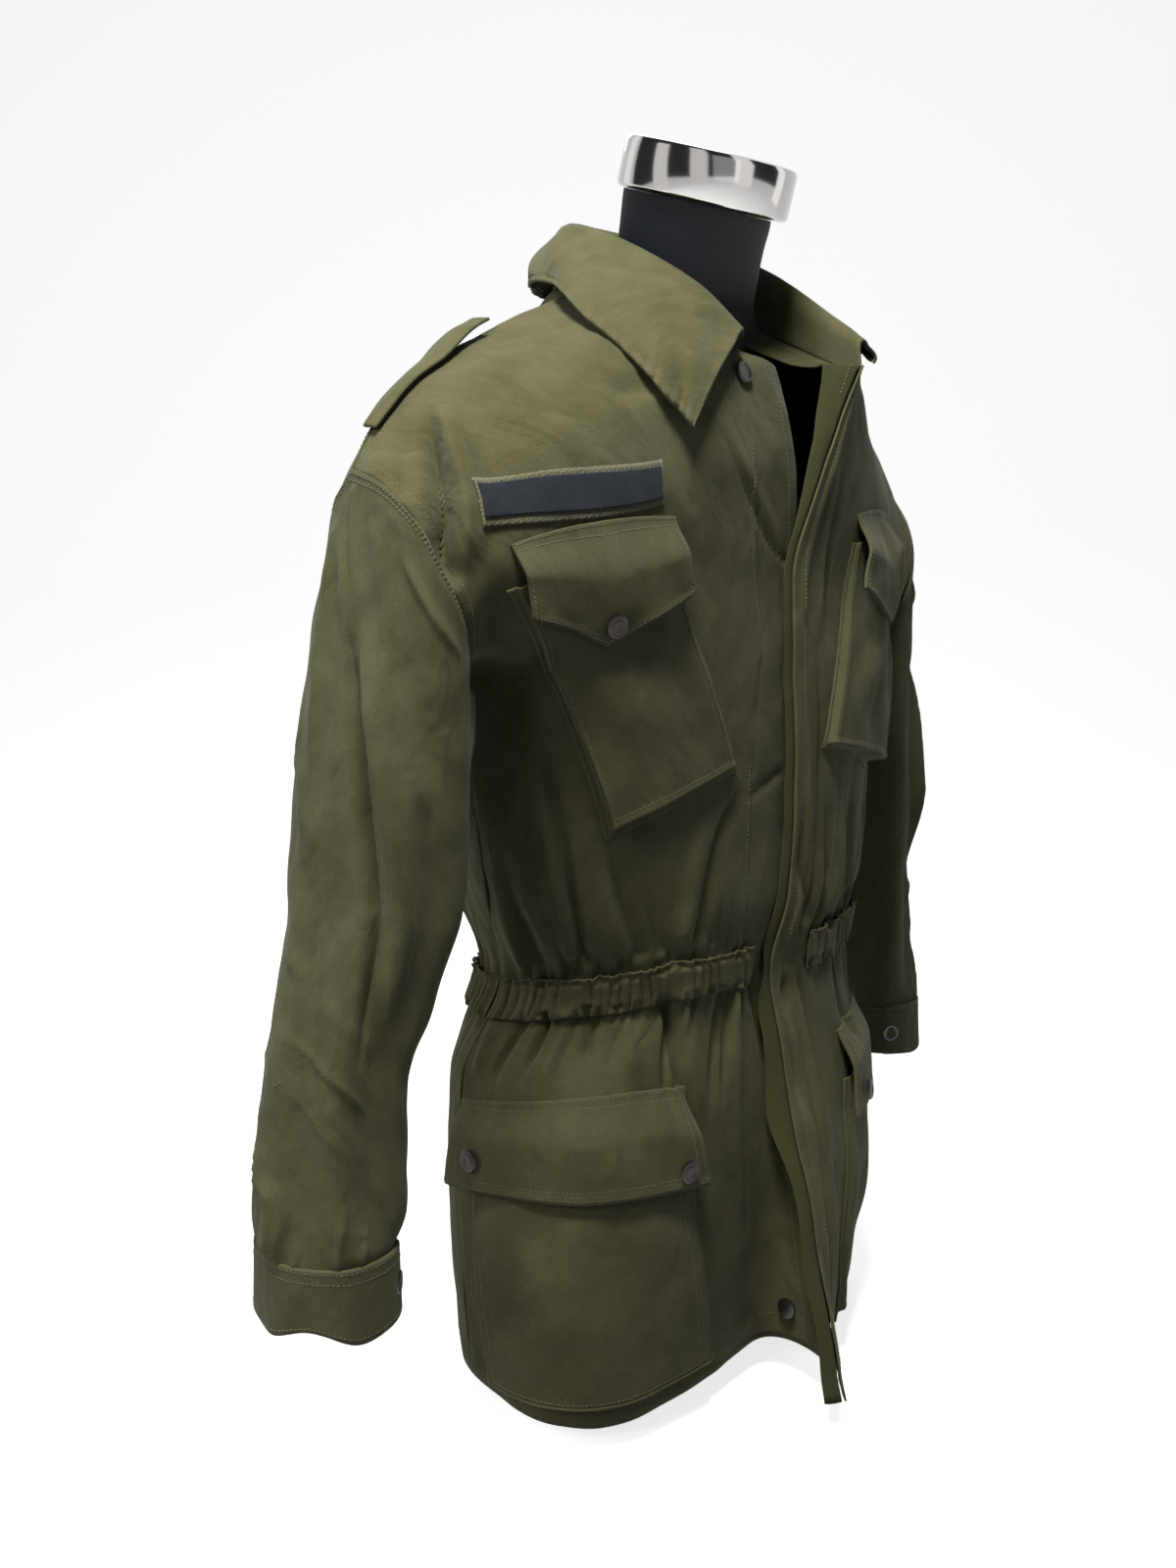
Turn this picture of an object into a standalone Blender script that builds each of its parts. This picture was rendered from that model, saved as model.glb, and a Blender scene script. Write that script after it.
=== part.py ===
"""Field jacket worn open on a limbless dress form.

The cloth is built as walls about 1.6 mm thick. Each body panel is a loft: a table gives one cubic
curve a row, from the centre front or centre back to the side seam or the armhole, and the rows are
joined smoothly. Whatever is sewn on a panel is made from that panel's own points, moved outwards.
Metres, +Z up. The jacket faces -Y, so the wearer's right side is at -X. The form stands on z = 0.
"""
import math

import bmesh
import bpy
import numpy as np
from mathutils import Matrix, Vector
from mathutils.bvhtree import BVHTree

# Driving sizes, metres.
CLOTH = 0.0016            # wall of one made-up layer of twill
BACK_CLOTH = 0.0018       # wall of the bodice's back, which its yoke makes firmer
TRIM_CLOTH = 0.0014       # wall of pockets, flaps and straps
SEAM_GAP = 0.0004         # half of the parting at a seam
MITRE_LIMIT = 0.0066      # most that a sleeve is drawn back where it turns from the armhole
LAY_GAP = 0.0016          # a piece lies this far over the panel before it is seated on it
SEAT_GAP = 0.00032        # and this far once it is seated
BAND_GAP = 0.0012         # the fly band, before it is seated inside the front
POCKET_GAP = 0.0022       # the pocket bags, whose sides fold back to the panel
COLLAR_CLOTH = 0.0022
TAPE_CLOTH = 0.0012
TAPE_STEP = 0.0031        # height of the name strip over the panel before it is seated
STEP_OVER = 0.0020        # snaps and buttons start this far over what they sit on
WAIST_HEIGHT = 0.299
WAIST_ROW = 3.0           # row of the panel tables that lies at the waist
WAIST_PARTING = 0.004     # half of the parting under the casing, in rows
UNDERARM_ROW = 6.0
TOP_ROW = 12.0            # the shoulder seam
BACK_TABLE_TOP = 10.0     # above this row the back blends into its top edge
NECK_SHARE = 0.30         # share of the back's top edge that is neckline
SHOULDER_CROWN = 0.006    # fullness of the back just behind the shoulder seam
SEAT_REACH = 0.012        # what is further off than this doesn't carry a piece
SEAT_STEPS = 40
SNAP_RADIUS = 0.0075
SNAP_HEIGHT = 0.0022
BUTTON_RADIUS = 0.0075
BUTTON_HEIGHT = 0.0024
CAP_RADIUS = 0.060
CAP_HEIGHT = 0.034
CAP_TILT = math.radians(16.0)
CAP_CENTRE = (0.0, -0.026, 0.842)

RIGHT = -1.0
LEFT = 1.0
UP = (0.0, 0.0, 1.0)
DOWN = (0.0, 0.0, -1.0)

# Base colours, linear RGB, with roughness and metallic.
OLIVE = ((0.058, 0.056, 0.031, 1.0), 0.88, 0.0)
OLIVE_DARK = ((0.040, 0.040, 0.024, 1.0), 0.9, 0.0)
TAPE_LOOP = ((0.060, 0.060, 0.028, 1.0), 0.95, 0.0)
TAPE_NAVY = ((0.016, 0.018, 0.026, 1.0), 0.8, 0.0)
GUNMETAL = ((0.10, 0.095, 0.085, 1.0), 0.42, 0.9)
BUTTON_BROWN = ((0.020, 0.014, 0.010, 1.0), 0.35, 0.0)
FORM_BLACK = ((0.012, 0.014, 0.018, 1.0), 0.85, 0.0)
CHROME = ((0.75, 0.74, 0.73, 1.0), 0.08, 1.0)

# Panel rows. inner and outer are the ends of the row's curve, pull and push its two handles.
# x runs outwards from the centre, and each is (x, y, z).
FRONT_ROWS = (
    # inner                    pull                      push                      outer
    ((-0.045, -0.094, 0.027), (0.130, -0.112, 0.022), (0.230, -0.108, 0.004), (0.184, 0.034, 0.018)),
    ((-0.028, -0.098, 0.140), (0.118, -0.115, 0.140), (0.234, -0.102, 0.140), (0.188, 0.040, 0.140)),
    ((-0.008, -0.096, 0.230), (0.106, -0.112, 0.230), (0.220, -0.092, 0.230), (0.182, 0.042, 0.230)),
    ((-0.004, -0.088, 0.299), (0.090, -0.110, 0.299), (0.178, -0.085, 0.299), (0.162, 0.022, 0.299)),
    ((-0.008, -0.100, 0.360), (0.100, -0.114, 0.360), (0.202, -0.088, 0.360), (0.187, 0.010, 0.360)),
    ((-0.010, -0.101, 0.450), (0.105, -0.112, 0.450), (0.222, -0.095, 0.450), (0.212, 0.000, 0.450)),
    ((-0.012, -0.100, 0.515), (0.105, -0.110, 0.515), (0.236, -0.100, 0.515), (0.224, 0.000, 0.515)),
    ((-0.012, -0.097, 0.575), (0.100, -0.107, 0.575), (0.232, -0.104, 0.560), (0.262, -0.048, 0.530)),
    ((-0.008, -0.098, 0.645), (0.090, -0.107, 0.642), (0.222, -0.103, 0.615), (0.285, -0.064, 0.565)),
    ((0.000, -0.085, 0.714), (0.080, -0.100, 0.700), (0.220, -0.088, 0.668), (0.300, -0.056, 0.600)),
    ((0.045, -0.084, 0.723), (0.100, -0.076, 0.722), (0.240, -0.052, 0.700), (0.304, -0.035, 0.625)),
    ((0.076, -0.038, 0.744), (0.125, -0.032, 0.742), (0.255, -0.022, 0.710), (0.302, -0.010, 0.638)),
    ((0.090, 0.012, 0.764), (0.145, 0.012, 0.743), (0.262, 0.010, 0.712), (0.295, 0.013, 0.643)),
)
BACK_ROWS = (
    ((0.000, 0.098, 0.022), (0.080, 0.102, 0.022), (0.164, 0.092, 0.020), (0.184, 0.034, 0.018)),
    ((0.000, 0.104, 0.140), (0.085, 0.108, 0.140), (0.168, 0.098, 0.140), (0.188, 0.040, 0.140)),
    ((0.000, 0.106, 0.230), (0.086, 0.108, 0.230), (0.164, 0.098, 0.230), (0.182, 0.042, 0.230)),
    ((0.000, 0.100, 0.299), (0.078, 0.102, 0.299), (0.148, 0.088, 0.299), (0.162, 0.022, 0.299)),
    ((0.000, 0.110, 0.360), (0.094, 0.112, 0.360), (0.182, 0.086, 0.360), (0.187, 0.010, 0.360)),
    ((0.000, 0.122, 0.450), (0.110, 0.126, 0.450), (0.216, 0.088, 0.450), (0.212, 0.000, 0.450)),
    ((0.000, 0.128, 0.515), (0.118, 0.132, 0.515), (0.232, 0.098, 0.515), (0.224, 0.000, 0.515)),
    ((0.000, 0.130, 0.575), (0.120, 0.133, 0.575), (0.224, 0.112, 0.560), (0.260, 0.036, 0.532)),
    ((0.000, 0.126, 0.630), (0.110, 0.128, 0.630), (0.216, 0.106, 0.610), (0.280, 0.044, 0.567)),
    ((0.000, 0.115, 0.685), (0.100, 0.114, 0.685), (0.212, 0.092, 0.658), (0.292, 0.036, 0.601)),
    ((0.000, 0.098, 0.735), (0.090, 0.092, 0.732), (0.220, 0.066, 0.695), (0.297, 0.026, 0.626)),
)
# The left front's edge stands forward of the right one and swings out at the top and at the hem.
# Its edge, then how far its pull and push handles are moved.
LEFT_ROWS = (
    # edge                     pull shift               push shift
    ((-0.046, -0.190, 0.018), (-0.070, 0.020, 0.000), (-0.036, 0.040, 0.000)),
    ((-0.026, -0.146, 0.140), (-0.036, -0.006, 0.000), (-0.022, 0.012, 0.000)),
    ((-0.014, -0.114, 0.230), (-0.010, -0.006, 0.000), (-0.024, 0.006, 0.000)),
    ((-0.014, -0.101, 0.299), (-0.006, -0.004, 0.000), (-0.006, 0.002, 0.000)),
    ((-0.009, -0.112, 0.360), (-0.006, -0.004, 0.000), (-0.014, 0.006, 0.000)),
    ((-0.008, -0.114, 0.450), (-0.006, -0.006, 0.000), (-0.022, 0.010, 0.000)),
    ((-0.010, -0.113, 0.515), (-0.006, -0.006, 0.000), (-0.024, 0.012, 0.000)),
    ((-0.010, -0.110, 0.575), (-0.004, -0.005, 0.000), (-0.020, 0.014, 0.000)),
    ((0.016, -0.118, 0.650), (-0.002, 0.000, 0.000), (-0.014, 0.012, 0.000)),
    ((0.055, -0.121, 0.714), (0.008, 0.012, 0.000), (-0.008, 0.006, 0.000)),
    ((0.072, -0.088, 0.724), (0.012, 0.000, 0.000), (0.000, 0.000, 0.000)),
    ((0.084, -0.038, 0.744), (0.004, 0.000, 0.000), (0.000, 0.000, 0.000)),
    ((0.090, 0.012, 0.764), (0.000, 0.000, 0.000), (0.000, 0.000, 0.000)),
)
# The right front's edge turns forward below the waist: how far at the rows from the hem up.
TURN_OUT = ((0.077, -0.068, 0.004), (0.038, -0.026, 0.000), (0.016, -0.005, 0.000),
            (0.000, 0.000, 0.000), (0.000, 0.000, 0.000))
TURN_OUT_SHARE = 0.17
DRAW_IN_FROM = 0.06
DRAW_IN_OVER = 0.18
DRAW_IN = ((0.02, 0.23, 0.30, 0.36, 0.45, 0.55, 0.65, 0.77),
           (0.016, 0.014, 0.002, 0.010, 0.028, 0.048, 0.060, 0.060))
BACK_NECK = (0.090, 0.066, 0.012, 0.770, 0.764)   # half width, depth, side y, centre z, side z

# Folds of a panel, each a soft ridge or trough along the rows: where it runs (u at two rows),
# its width in u, its height, and the rows where it fades in and out.
FRONT_FOLDS = (
    # u_low row_low u_high row_high width  height   fade_in fade_out
    (0.990, 7.9, 0.836, 11.2, 0.034, -0.0090, 8.0, 11.6),
    (0.975, 6.4, 0.900, 8.0, 0.050, -0.0040, 6.2, 8.4),
    (0.180, 5.2, 0.090, 8.4, 0.060, -0.0030, 4.8, 8.8),
    (0.550, 3.3, 0.500, 4.6, 0.050, 0.0035, 3.1, 4.9),
    (0.800, 3.2, 0.720, 5.8, 0.050, -0.0045, 3.1, 6.2),
)
GATHER_COUNT = 7          # soft folds that run out of the waist of each front
GATHER_HEIGHT = 0.0032
GATHER_START = 0.026      # the gathers start this far from the waist line
GATHER_REACH = (0.036, 0.085)   # and fade over this length below it and above it
CASING_GATHERS_FRONT = 17
CASING_GATHERS_BACK = 30
CASING_WAVE = 0.0021
CASING_ROWS = (-0.218, 0.246)   # lower and upper edge, from the waist row
CASING_START = 0.13       # the front casing starts this far from the placket, as a share

# Sleeve rings: height of the ring, centre x and y, half depth across and along, turn in degrees.
SLEEVE_RINGS = (
    # z      x      y       across along  turn
    (0.184, 0.341, 0.002, 0.0395, 0.0460, 8.0),
    (0.205, 0.338, 0.002, 0.0395, 0.0475, 10.0),
    (0.240, 0.334, 0.002, 0.0365, 0.0455, 12.0),
    (0.285, 0.329, 0.001, 0.0355, 0.0450, 14.0),
    (0.330, 0.314, 0.000, 0.0385, 0.0520, 14.0),
    (0.390, 0.297, -0.002, 0.0420, 0.0590, 12.0),
    (0.450, 0.290, 0.000, 0.0440, 0.0640, 10.0),
    (0.500, 0.284, 0.002, 0.0450, 0.0670, 8.0),
    (0.540, 0.279, 0.003, 0.0450, 0.0680, 6.0),
)
LEFT_SLEEVE_IN = ((0.18, 0.40, 0.50, 0.62), (0.034, 0.034, 0.040, 0.054))   # the left sleeve
LEFT_SLEEVE_BACK = 0.008                 # hangs closer to the body and further back
SLEEVE_BLEND = (0.0, 0.30, 0.66, 0.90)   # how far the rings below the armhole leave its shape
UNDERARM_CLEAR = 0.018                   # the sleeve leans this far away from the body there
HANG_TOP = 0.565                         # height from which the blended rings hang, and how steeply
HANG_SLOPE = 0.9
SLEEVE_WAVES = ((0.0040, 2.0, 1.0, 0.0), (0.0030, 5.0, 2.0, 2.0))   # height, count, start, drift
SLEEVE_SEAMS = (1.10, 5.10)              # turns round the arm where its two pieces meet
SLEEVE_PARTING = 0.0085                  # half of the parting there, as a turn
SLEEVE_STEPS = 17                        # rings from the armhole to the cuff
TURN_STEP = 0.02                         # turn to each side over which a wall's direction is taken
CENTRE_TURNS = 24
CUFF_TOP = 0.182
CUFF_BOTTOM = 0.142
CUFF_ACROSS = 0.0402
CUFF_ALONG = 0.0467
CUFF_FLARE = 0.0015
CUFF_CLOTH = 0.0022
CUFF_BUTTON_OVER = 0.0030
CUFF_BUTTON_PLACE = 10        # place of the button, in 72nds round from the inner side

# Collar stations from the front end to the centre back: the fold and the leaf's edge. The seam
# follows the neckline: rows of the fronts' inner edges, then the back's top edge.
COLLAR_ROWS = (
    # fold                     leaf edge
    ((0.050, -0.0920, 0.7300), (0.123, -0.1070, 0.6680)),
    ((0.061, -0.0680, 0.7560), (0.138, -0.0870, 0.6960)),
    ((0.075, -0.0290, 0.7820), (0.142, -0.0420, 0.7330)),
    ((0.079, 0.0130, 0.8000), (0.119, 0.0130, 0.7640)),
    ((0.052, 0.0510, 0.8090), (0.076, 0.0690, 0.7720)),
    ((0.000, 0.0700, 0.8150), (0.000, 0.1070, 0.7710)),
)
# The last three stations on the left side, where the front stands open.
LEFT_COLLAR = (
    ((0.075, -0.0290, 0.7820), (0.106, -0.0400, 0.7500)),
    ((0.073, -0.0810, 0.7480), (0.090, -0.0880, 0.7330)),
    ((0.064, -0.1120, 0.7310), (0.080, -0.1140, 0.7200)),
)
COLLAR_SHOULDER = 3.0     # station at the shoulder seam
COLLAR_CENTRE = 5.0       # station at the centre back
COLLAR_END_RIGHT = 10.0   # rows of the fronts where the collar ends
COLLAR_END_LEFT = 9.35
COLLAR_TURN = 0.0055      # width of the turn over the fold
COLLAR_BOW = 0.006        # fullness of the leaf
COLLAR_STAND_SHARE = 0.3  # share of the profile that is the stand
COLLAR_RAISE = 0.0030     # height of the seam over the neckline before the collar is seated

# Patches on the fronts, by corners (u, row): inner low, outer low, outer high, inner high.
CHEST_POCKET = {RIGHT: ((0.240, 5.10), (0.596, 4.73), (0.857, 7.80), (0.446, 7.50)),
                LEFT: ((0.105, 5.05), (0.455, 4.72), (0.640, 7.70), (0.243, 7.35))}
CHEST_FLAP = {RIGHT: ((0.404, 7.00), (0.804, 7.30), (0.858, 8.33), (0.442, 7.80)),
              LEFT: ((0.215, 6.85), (0.615, 7.15), (0.665, 8.10), (0.250, 7.64))}
LOWER_POCKET = {RIGHT: ((0.275, 0.10), (0.930, 0.10), (0.940, 1.70), (0.355, 1.62)),
                LEFT: ((0.200, 0.10), (0.930, 0.10), (0.940, 1.70), (0.255, 1.62))}
LOWER_FLAP = {RIGHT: ((0.321, 1.31), (0.970, 1.36), (0.975, 2.05), (0.362, 2.06)),
              LEFT: ((0.240, 1.33), (0.970, 1.38), (0.975, 2.05), (0.245, 2.06))}
NAME_TAPE = ((0.475, 7.96), (0.900, 8.70), (0.878, 9.35), (0.475, 8.40))
STRAP_START = 0.975       # shoulder strap, as a share of the shoulder seam from the neck
STRAP_END = 0.50
STRAP_HALF_WIDTH = 0.018
STRAP_LIFT = 0.0015         # height of the strap over the shoulder, then more at its free end
STRAP_END_LIFT = 0.0060
POCKET_STEPS = (0.0, 0.04, 0.13, 0.32, 0.5, 0.68, 0.87, 0.96, 1.0)
LOWER_STEPS = (0.0, 0.04, 0.12, 0.25, 0.37, 0.48, 0.58, 0.68, 0.78, 0.88, 0.96, 1.0)
FLAP_STEPS_ACROSS = (0.0, 0.06, 0.22, 0.36, 0.5, 0.64, 0.78, 0.94, 1.0)
FLAP_STEPS_DOWN = (0.0, 0.12, 0.4, 0.7, 1.0)
CHEST_BULGE = 0.009
CHEST_LIFT = 0.0100         # how far the flaps' lower parts stand off
LOWER_LIFT = 0.0120
CHEST_POINT = 0.55
LOWER_POINT = 0.12
LOWER_BULGE = 0.011

# Dress form sections: height, half width, half depth, centre y.
FORM_RINGS = (
    (0.000, 0.122, 0.050, 0.010), (0.004, 0.127, 0.054, 0.010), (0.050, 0.138, 0.062, 0.010),
    (0.120, 0.146, 0.074, 0.008), (0.200, 0.146, 0.078, 0.006), (0.300, 0.124, 0.072, 0.004),
    (0.400, 0.142, 0.084, 0.006), (0.500, 0.164, 0.092, 0.012), (0.580, 0.180, 0.090, 0.016),
    (0.640, 0.172, 0.072, 0.014), (0.680, 0.162, 0.058, 0.013), (0.703, 0.148, 0.048, 0.012),
    (0.7200, 0.132, 0.043, 0.011), (0.7350, 0.111, 0.042, 0.009), (0.7522, 0.092, 0.043, 0.006),
    (0.7612, 0.071, 0.045, 0.000), (0.780, 0.058, 0.050, -0.006), (0.800, 0.053, 0.050, -0.013),
    (0.8262, 0.052, 0.050, -0.018),
)
FORM_SIDES = 24
NECK_BASE = 0.756        # the shoulders carry the jacket here
FORM_SHIFT = 0.0008      # sideways, so that the right side carries the cloth too


# ---------------------------------------------------------------- helpers

def clear_scene():
    for item in list(bpy.data.objects):
        bpy.data.objects.remove(item, do_unlink=True)


def material(name, finish):
    colour, roughness, metallic = finish
    made = bpy.data.materials.new(name)
    made.use_nodes = True
    shader = made.node_tree.nodes["Principled BSDF"]
    shader.inputs["Base Color"].default_value = colour
    shader.inputs["Roughness"].default_value = roughness
    shader.inputs["Metallic"].default_value = metallic
    made.diffuse_color = colour
    return made


def ease(value):
    """Smooth step from 0 to 1 of a value between 0 and 1."""
    value = np.clip(value, 0.0, 1.0)
    return value * value * (3.0 - 2.0 * value)


def along(table, position):
    """Values of a table at fractional rows, joined by a smooth curve that never overshoots."""
    table = np.asarray(table, dtype=float)
    step = np.diff(table, axis=0)
    before, after = step[:-1], step[1:]
    same_way = before * after > 0
    total = np.where(same_way, before + after, 1.0)
    slope = np.zeros_like(table)
    slope[1:-1] = np.where(same_way, 2 * before * after / total, 0.0)
    slope[0], slope[-1] = step[0], step[-1]
    position = np.clip(np.asarray(position, dtype=float), 0.0, len(table) - 1.0)
    low = np.minimum(position.astype(int), len(table) - 2)
    part = (position - low).reshape(position.shape + (1,) * (table.ndim - 1))
    return (table[low] * (1 + 2 * part) * (1 - part) ** 2 + slope[low] * part * (1 - part) ** 2
            + table[low + 1] * part ** 2 * (3 - 2 * part) - slope[low + 1] * part ** 2 * (1 - part))


def bezier(handles, u):
    """Points at u of cubic curves whose four handles are the second last axis."""
    u = u[..., None]
    return (handles[..., 0, :] * (1 - u) ** 3 + handles[..., 1, :] * 3 * u * (1 - u) ** 2
            + handles[..., 2, :] * 3 * u * u * (1 - u) + handles[..., 3, :] * u ** 3)


def front_table(side):
    table = np.array(FRONT_ROWS)
    if side == LEFT:
        moved = np.array(LEFT_ROWS)
        table[:, 0] = moved[:, 0]
        table[:, 1:3] += moved[:, 1:3]
    return table


FRONT_TABLES = {RIGHT: front_table(RIGHT), LEFT: front_table(LEFT)}


def draw_in(points):
    """The left half hangs a little closer to the body than the right half."""
    far = ease((points[..., 0] - DRAW_IN_FROM) / DRAW_IN_OVER)
    points[..., 0] -= far * np.interp(points[..., 2], *DRAW_IN)
    return points


def front_base(u, row, side):
    """Smooth surface of a front, with u from the centre front to the side and row up."""
    handles = along(FRONT_TABLES[side], row)
    points = bezier(handles, u)
    if side == RIGHT:
        edge = np.clip(1.0 - u / TURN_OUT_SHARE, 0.0, 1.0) ** 2
        points += along(TURN_OUT, np.minimum(row, len(TURN_OUT) - 1.0)) * edge[..., None]
    points[..., 0] *= side
    return draw_in(points)


def back_top(u):
    """Top edge of half the back: the neckline, then the shoulder seam."""
    half, depth, side_y, centre_z, side_z = BACK_NECK
    turn = np.clip(u / NECK_SHARE, 0.0, 1.0) * math.pi / 2
    neck = np.stack([half * np.sin(turn), side_y + depth * np.cos(turn),
                     side_z + (centre_z - side_z) * np.cos(turn)], axis=-1)
    seam = bezier(np.broadcast_to(np.array(FRONT_ROWS[-1]), u.shape + (4, 3)),
                  np.clip((u - NECK_SHARE) / (1.0 - NECK_SHARE), 0.0, 1.0))
    return np.where((u < NECK_SHARE)[..., None], neck, seam)


def back_base(u, row):
    """Smooth surface of the back. u runs from -1 at the right side seam to 1 at the left."""
    half = np.abs(u)
    points = bezier(along(np.array(BACK_ROWS), np.minimum(row, BACK_TABLE_TOP)), half)
    rise = np.clip((row - BACK_TABLE_TOP) / (TOP_ROW - BACK_TABLE_TOP), 0.0, 1.0)[..., None]
    points = points * (1 - rise) + back_top(half) * rise
    crown = SHOULDER_CROWN * np.sin(math.pi * rise[..., 0]) * ease(half / 0.2) * ease((1 - half) / 0.3)
    points[..., 1] += crown
    points[..., 2] += 0.6 * crown
    points[..., 0] *= np.sign(u)
    return draw_in(points)


def waist_window(height):
    """Strength of the gathers: none under the casing, most beside it, then fading."""
    away = height - WAIST_HEIGHT
    reach = np.where(away < 0, GATHER_REACH[0], GATHER_REACH[1])
    return (1 - np.exp(-(away / GATHER_START) ** 4)) * np.exp(-(away / reach) ** 2)


def edge_window(share, width=0.09):
    return ease(share / width) * ease((1 - share) / width)


def front_relief(u, row, height):
    """Height of the folds of a front over its smooth surface."""
    relief = np.zeros_like(u)
    for u_low, row_low, u_high, row_high, width, rise, fade_in, fade_out in FRONT_FOLDS:
        share = (row - row_low) / (row_high - row_low)
        centre = u_low + (u_high - u_low) * share
        window = ease((row - fade_in) / 0.8) * ease((fade_out - row) / 0.8)
        relief += rise * window * np.exp(-((u - centre) / width) ** 2)
    wave = np.sin(2 * math.pi * (GATHER_COUNT * u + 0.25 * np.sin(9.0 * u)))
    relief += GATHER_HEIGHT * waist_window(height) * wave * ease((u - 0.10) / 0.15)
    return relief * edge_window(u, 0.05)


def back_relief(u, row, height):
    wave = np.sin(2 * math.pi * (GATHER_COUNT * 1.1 * u + 0.2 * np.sin(7.0 * u)))
    return GATHER_HEIGHT * waist_window(height) * wave * edge_window(np.abs(u), 0.06)


def smooth_normals(surface, u, row):
    """Normals of a surface function from small steps to both sides."""
    step = 0.004
    across = surface(u + step, row) - surface(u - step, row)
    up = surface(u, row + 4 * step) - surface(u, row - 4 * step)
    normal = np.cross(across, up)
    return normal / (np.linalg.norm(normal, axis=-1, keepdims=True) + 1e-12)


def front_surface(side):
    """Function (u, row, lift) -> points on the front, folds included, moved out by lift."""
    def base(u, row):
        return front_base(np.clip(u, 0.0, 1.0), np.clip(row, 0.0, TOP_ROW), side)

    def surface(u, row, lift=0.0):
        points = base(u, row)
        normal = smooth_normals(base, np.clip(u, 0.006, 0.994), np.clip(row, 0.03, TOP_ROW - 0.03))
        normal *= side
        relief = front_relief(u, row, points[..., 2])
        return points + normal * (relief + lift)[..., None]
    return surface


def back_surface(u, row, lift=0.0):
    def base(across, height):
        return back_base(np.clip(across, -1.0, 1.0), np.clip(height, 0.0, TOP_ROW))
    points = base(u, row)
    normal = smooth_normals(base, np.clip(u, -0.99, 0.99), np.clip(row, 0.03, TOP_ROW - 0.03))
    normal *= -1.0
    relief = back_relief(u, row, points[..., 2])
    return points + normal * (relief + lift)[..., None]


def grid_object(name, points, finish, wall=None, closed=False):
    """An open surface through a grid of points, given its wall by Solidify."""
    rows, columns = points.shape[:2]
    mesh = bpy.data.meshes.new(name)
    index = np.arange(rows * columns).reshape(rows, columns)
    if closed:
        index = np.concatenate([index, index[:, :1]], axis=1)
    faces = np.stack([index[:-1, :-1], index[:-1, 1:], index[1:, 1:], index[1:, :-1]], axis=-1)
    mesh.from_pydata(points.reshape(-1, 3).tolist(), [], faces.reshape(-1, 4).tolist())
    mesh.update()
    item = bpy.data.objects.new(name, mesh)
    collection.objects.link(item)
    item.data.materials.append(finish)
    if wall:
        solid = item.modifiers.new("Wall", "SOLIDIFY")
        solid.thickness = wall
        solid.offset = -1.0
        solid.use_even_offset = False
    mesh.shade_smooth()
    return item


def shell_object(name, outer, inner, finish):
    """A closed wall between two grids of points."""
    rows, columns = outer.shape[:2]
    top = np.arange(rows * columns).reshape(rows, columns)
    under = top + rows * columns
    rims = [np.concatenate([grid_of[0], grid_of[1:, -1], grid_of[-1, -2::-1], grid_of[-2:0:-1, 0]])
            for grid_of in (top, under)]
    after = [np.roll(rim, -1) for rim in rims]
    faces = [np.stack([top[:-1, :-1], top[:-1, 1:], top[1:, 1:], top[1:, :-1]], axis=-1).reshape(-1, 4),
             np.stack([under[:-1, :-1], under[1:, :-1], under[1:, 1:], under[:-1, 1:]],
                      axis=-1).reshape(-1, 4),
             np.stack([after[0], rims[0], rims[1], after[1]], axis=-1)]
    mesh = bpy.data.meshes.new(name)
    points = np.concatenate([outer.reshape(-1, 3), inner.reshape(-1, 3)])
    mesh.from_pydata(points.tolist(), [], np.concatenate(faces).tolist())
    mesh.update()
    item = bpy.data.objects.new(name, mesh)
    collection.objects.link(item)
    mesh.materials.append(finish)
    mesh.shade_smooth()
    mesh.set_sharp_from_angle(angle=math.radians(50.0))
    return item


def grid(columns, rows):
    """Two arrays, u and row, over a grid with a line for each given value."""
    u, row = np.meshgrid(np.asarray(columns, dtype=float), np.asarray(rows, dtype=float))
    return u, row


def flip_for(side, points):
    """Turns the columns round so that the faces of both sides point outwards."""
    return points if side == LEFT else points[:, ::-1]


def world_triangles(item):
    """Corner points and triangles of an object, its modifiers included."""
    graph = bpy.context.evaluated_depsgraph_get()
    built = item.evaluated_get(graph)
    mesh = built.to_mesh()
    mesh.calc_loop_triangles()
    points = [vertex.co.copy() for vertex in mesh.vertices]
    faces = [tuple(triangle.vertices) for triangle in mesh.loop_triangles]
    built.to_mesh_clear()
    return points, faces


def edge_samples(points, faces):
    """The corners, and places along the edges, of a set of triangles."""
    samples = list(points)
    edges = {tuple(sorted((face[turn], face[turn - 1]))) for face in faces for turn in range(3)}
    for first, last in sorted(edges):
        samples += [points[first].lerp(points[last], part) for part in (0.2, 0.4, 0.6, 0.8)]
    return samples


def seat(item, carriers, direction):
    """Moves a piece by ever smaller steps until it lies at the seat gap from what carries it.

    A step is never longer than the room that is left, so the piece can't enter its carrier.
    """
    direction = Vector(direction).normalized()
    points, faces = world_triangles(item)
    own_samples = edge_samples(points, faces)
    own_tree = BVHTree.FromPolygons(points, faces)
    low = Vector([min(point[axis] for point in points) - SEAT_REACH for axis in range(3)])
    high = Vector([max(point[axis] for point in points) + SEAT_REACH for axis in range(3)])
    solids = [world_triangles(carrier) for carrier in carriers]
    trees = [BVHTree.FromPolygons(*solid) for solid in solids]
    near = [point for solid in solids for point in edge_samples(*solid)
            if all(low[axis] < point[axis] < high[axis] for axis in range(3))]
    moved = 0.0
    for _ in range(SEAT_STEPS):
        shift = direction * moved
        room = min([tree.find_nearest(point + shift)[3] for tree in trees for point in own_samples]
                   + [own_tree.find_nearest(point - shift)[3] for point in near])
        if room < SEAT_GAP * 1.05:
            break
        moved += room - SEAT_GAP
    item.data.transform(Matrix.Translation(direction * moved))
    return item


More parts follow.
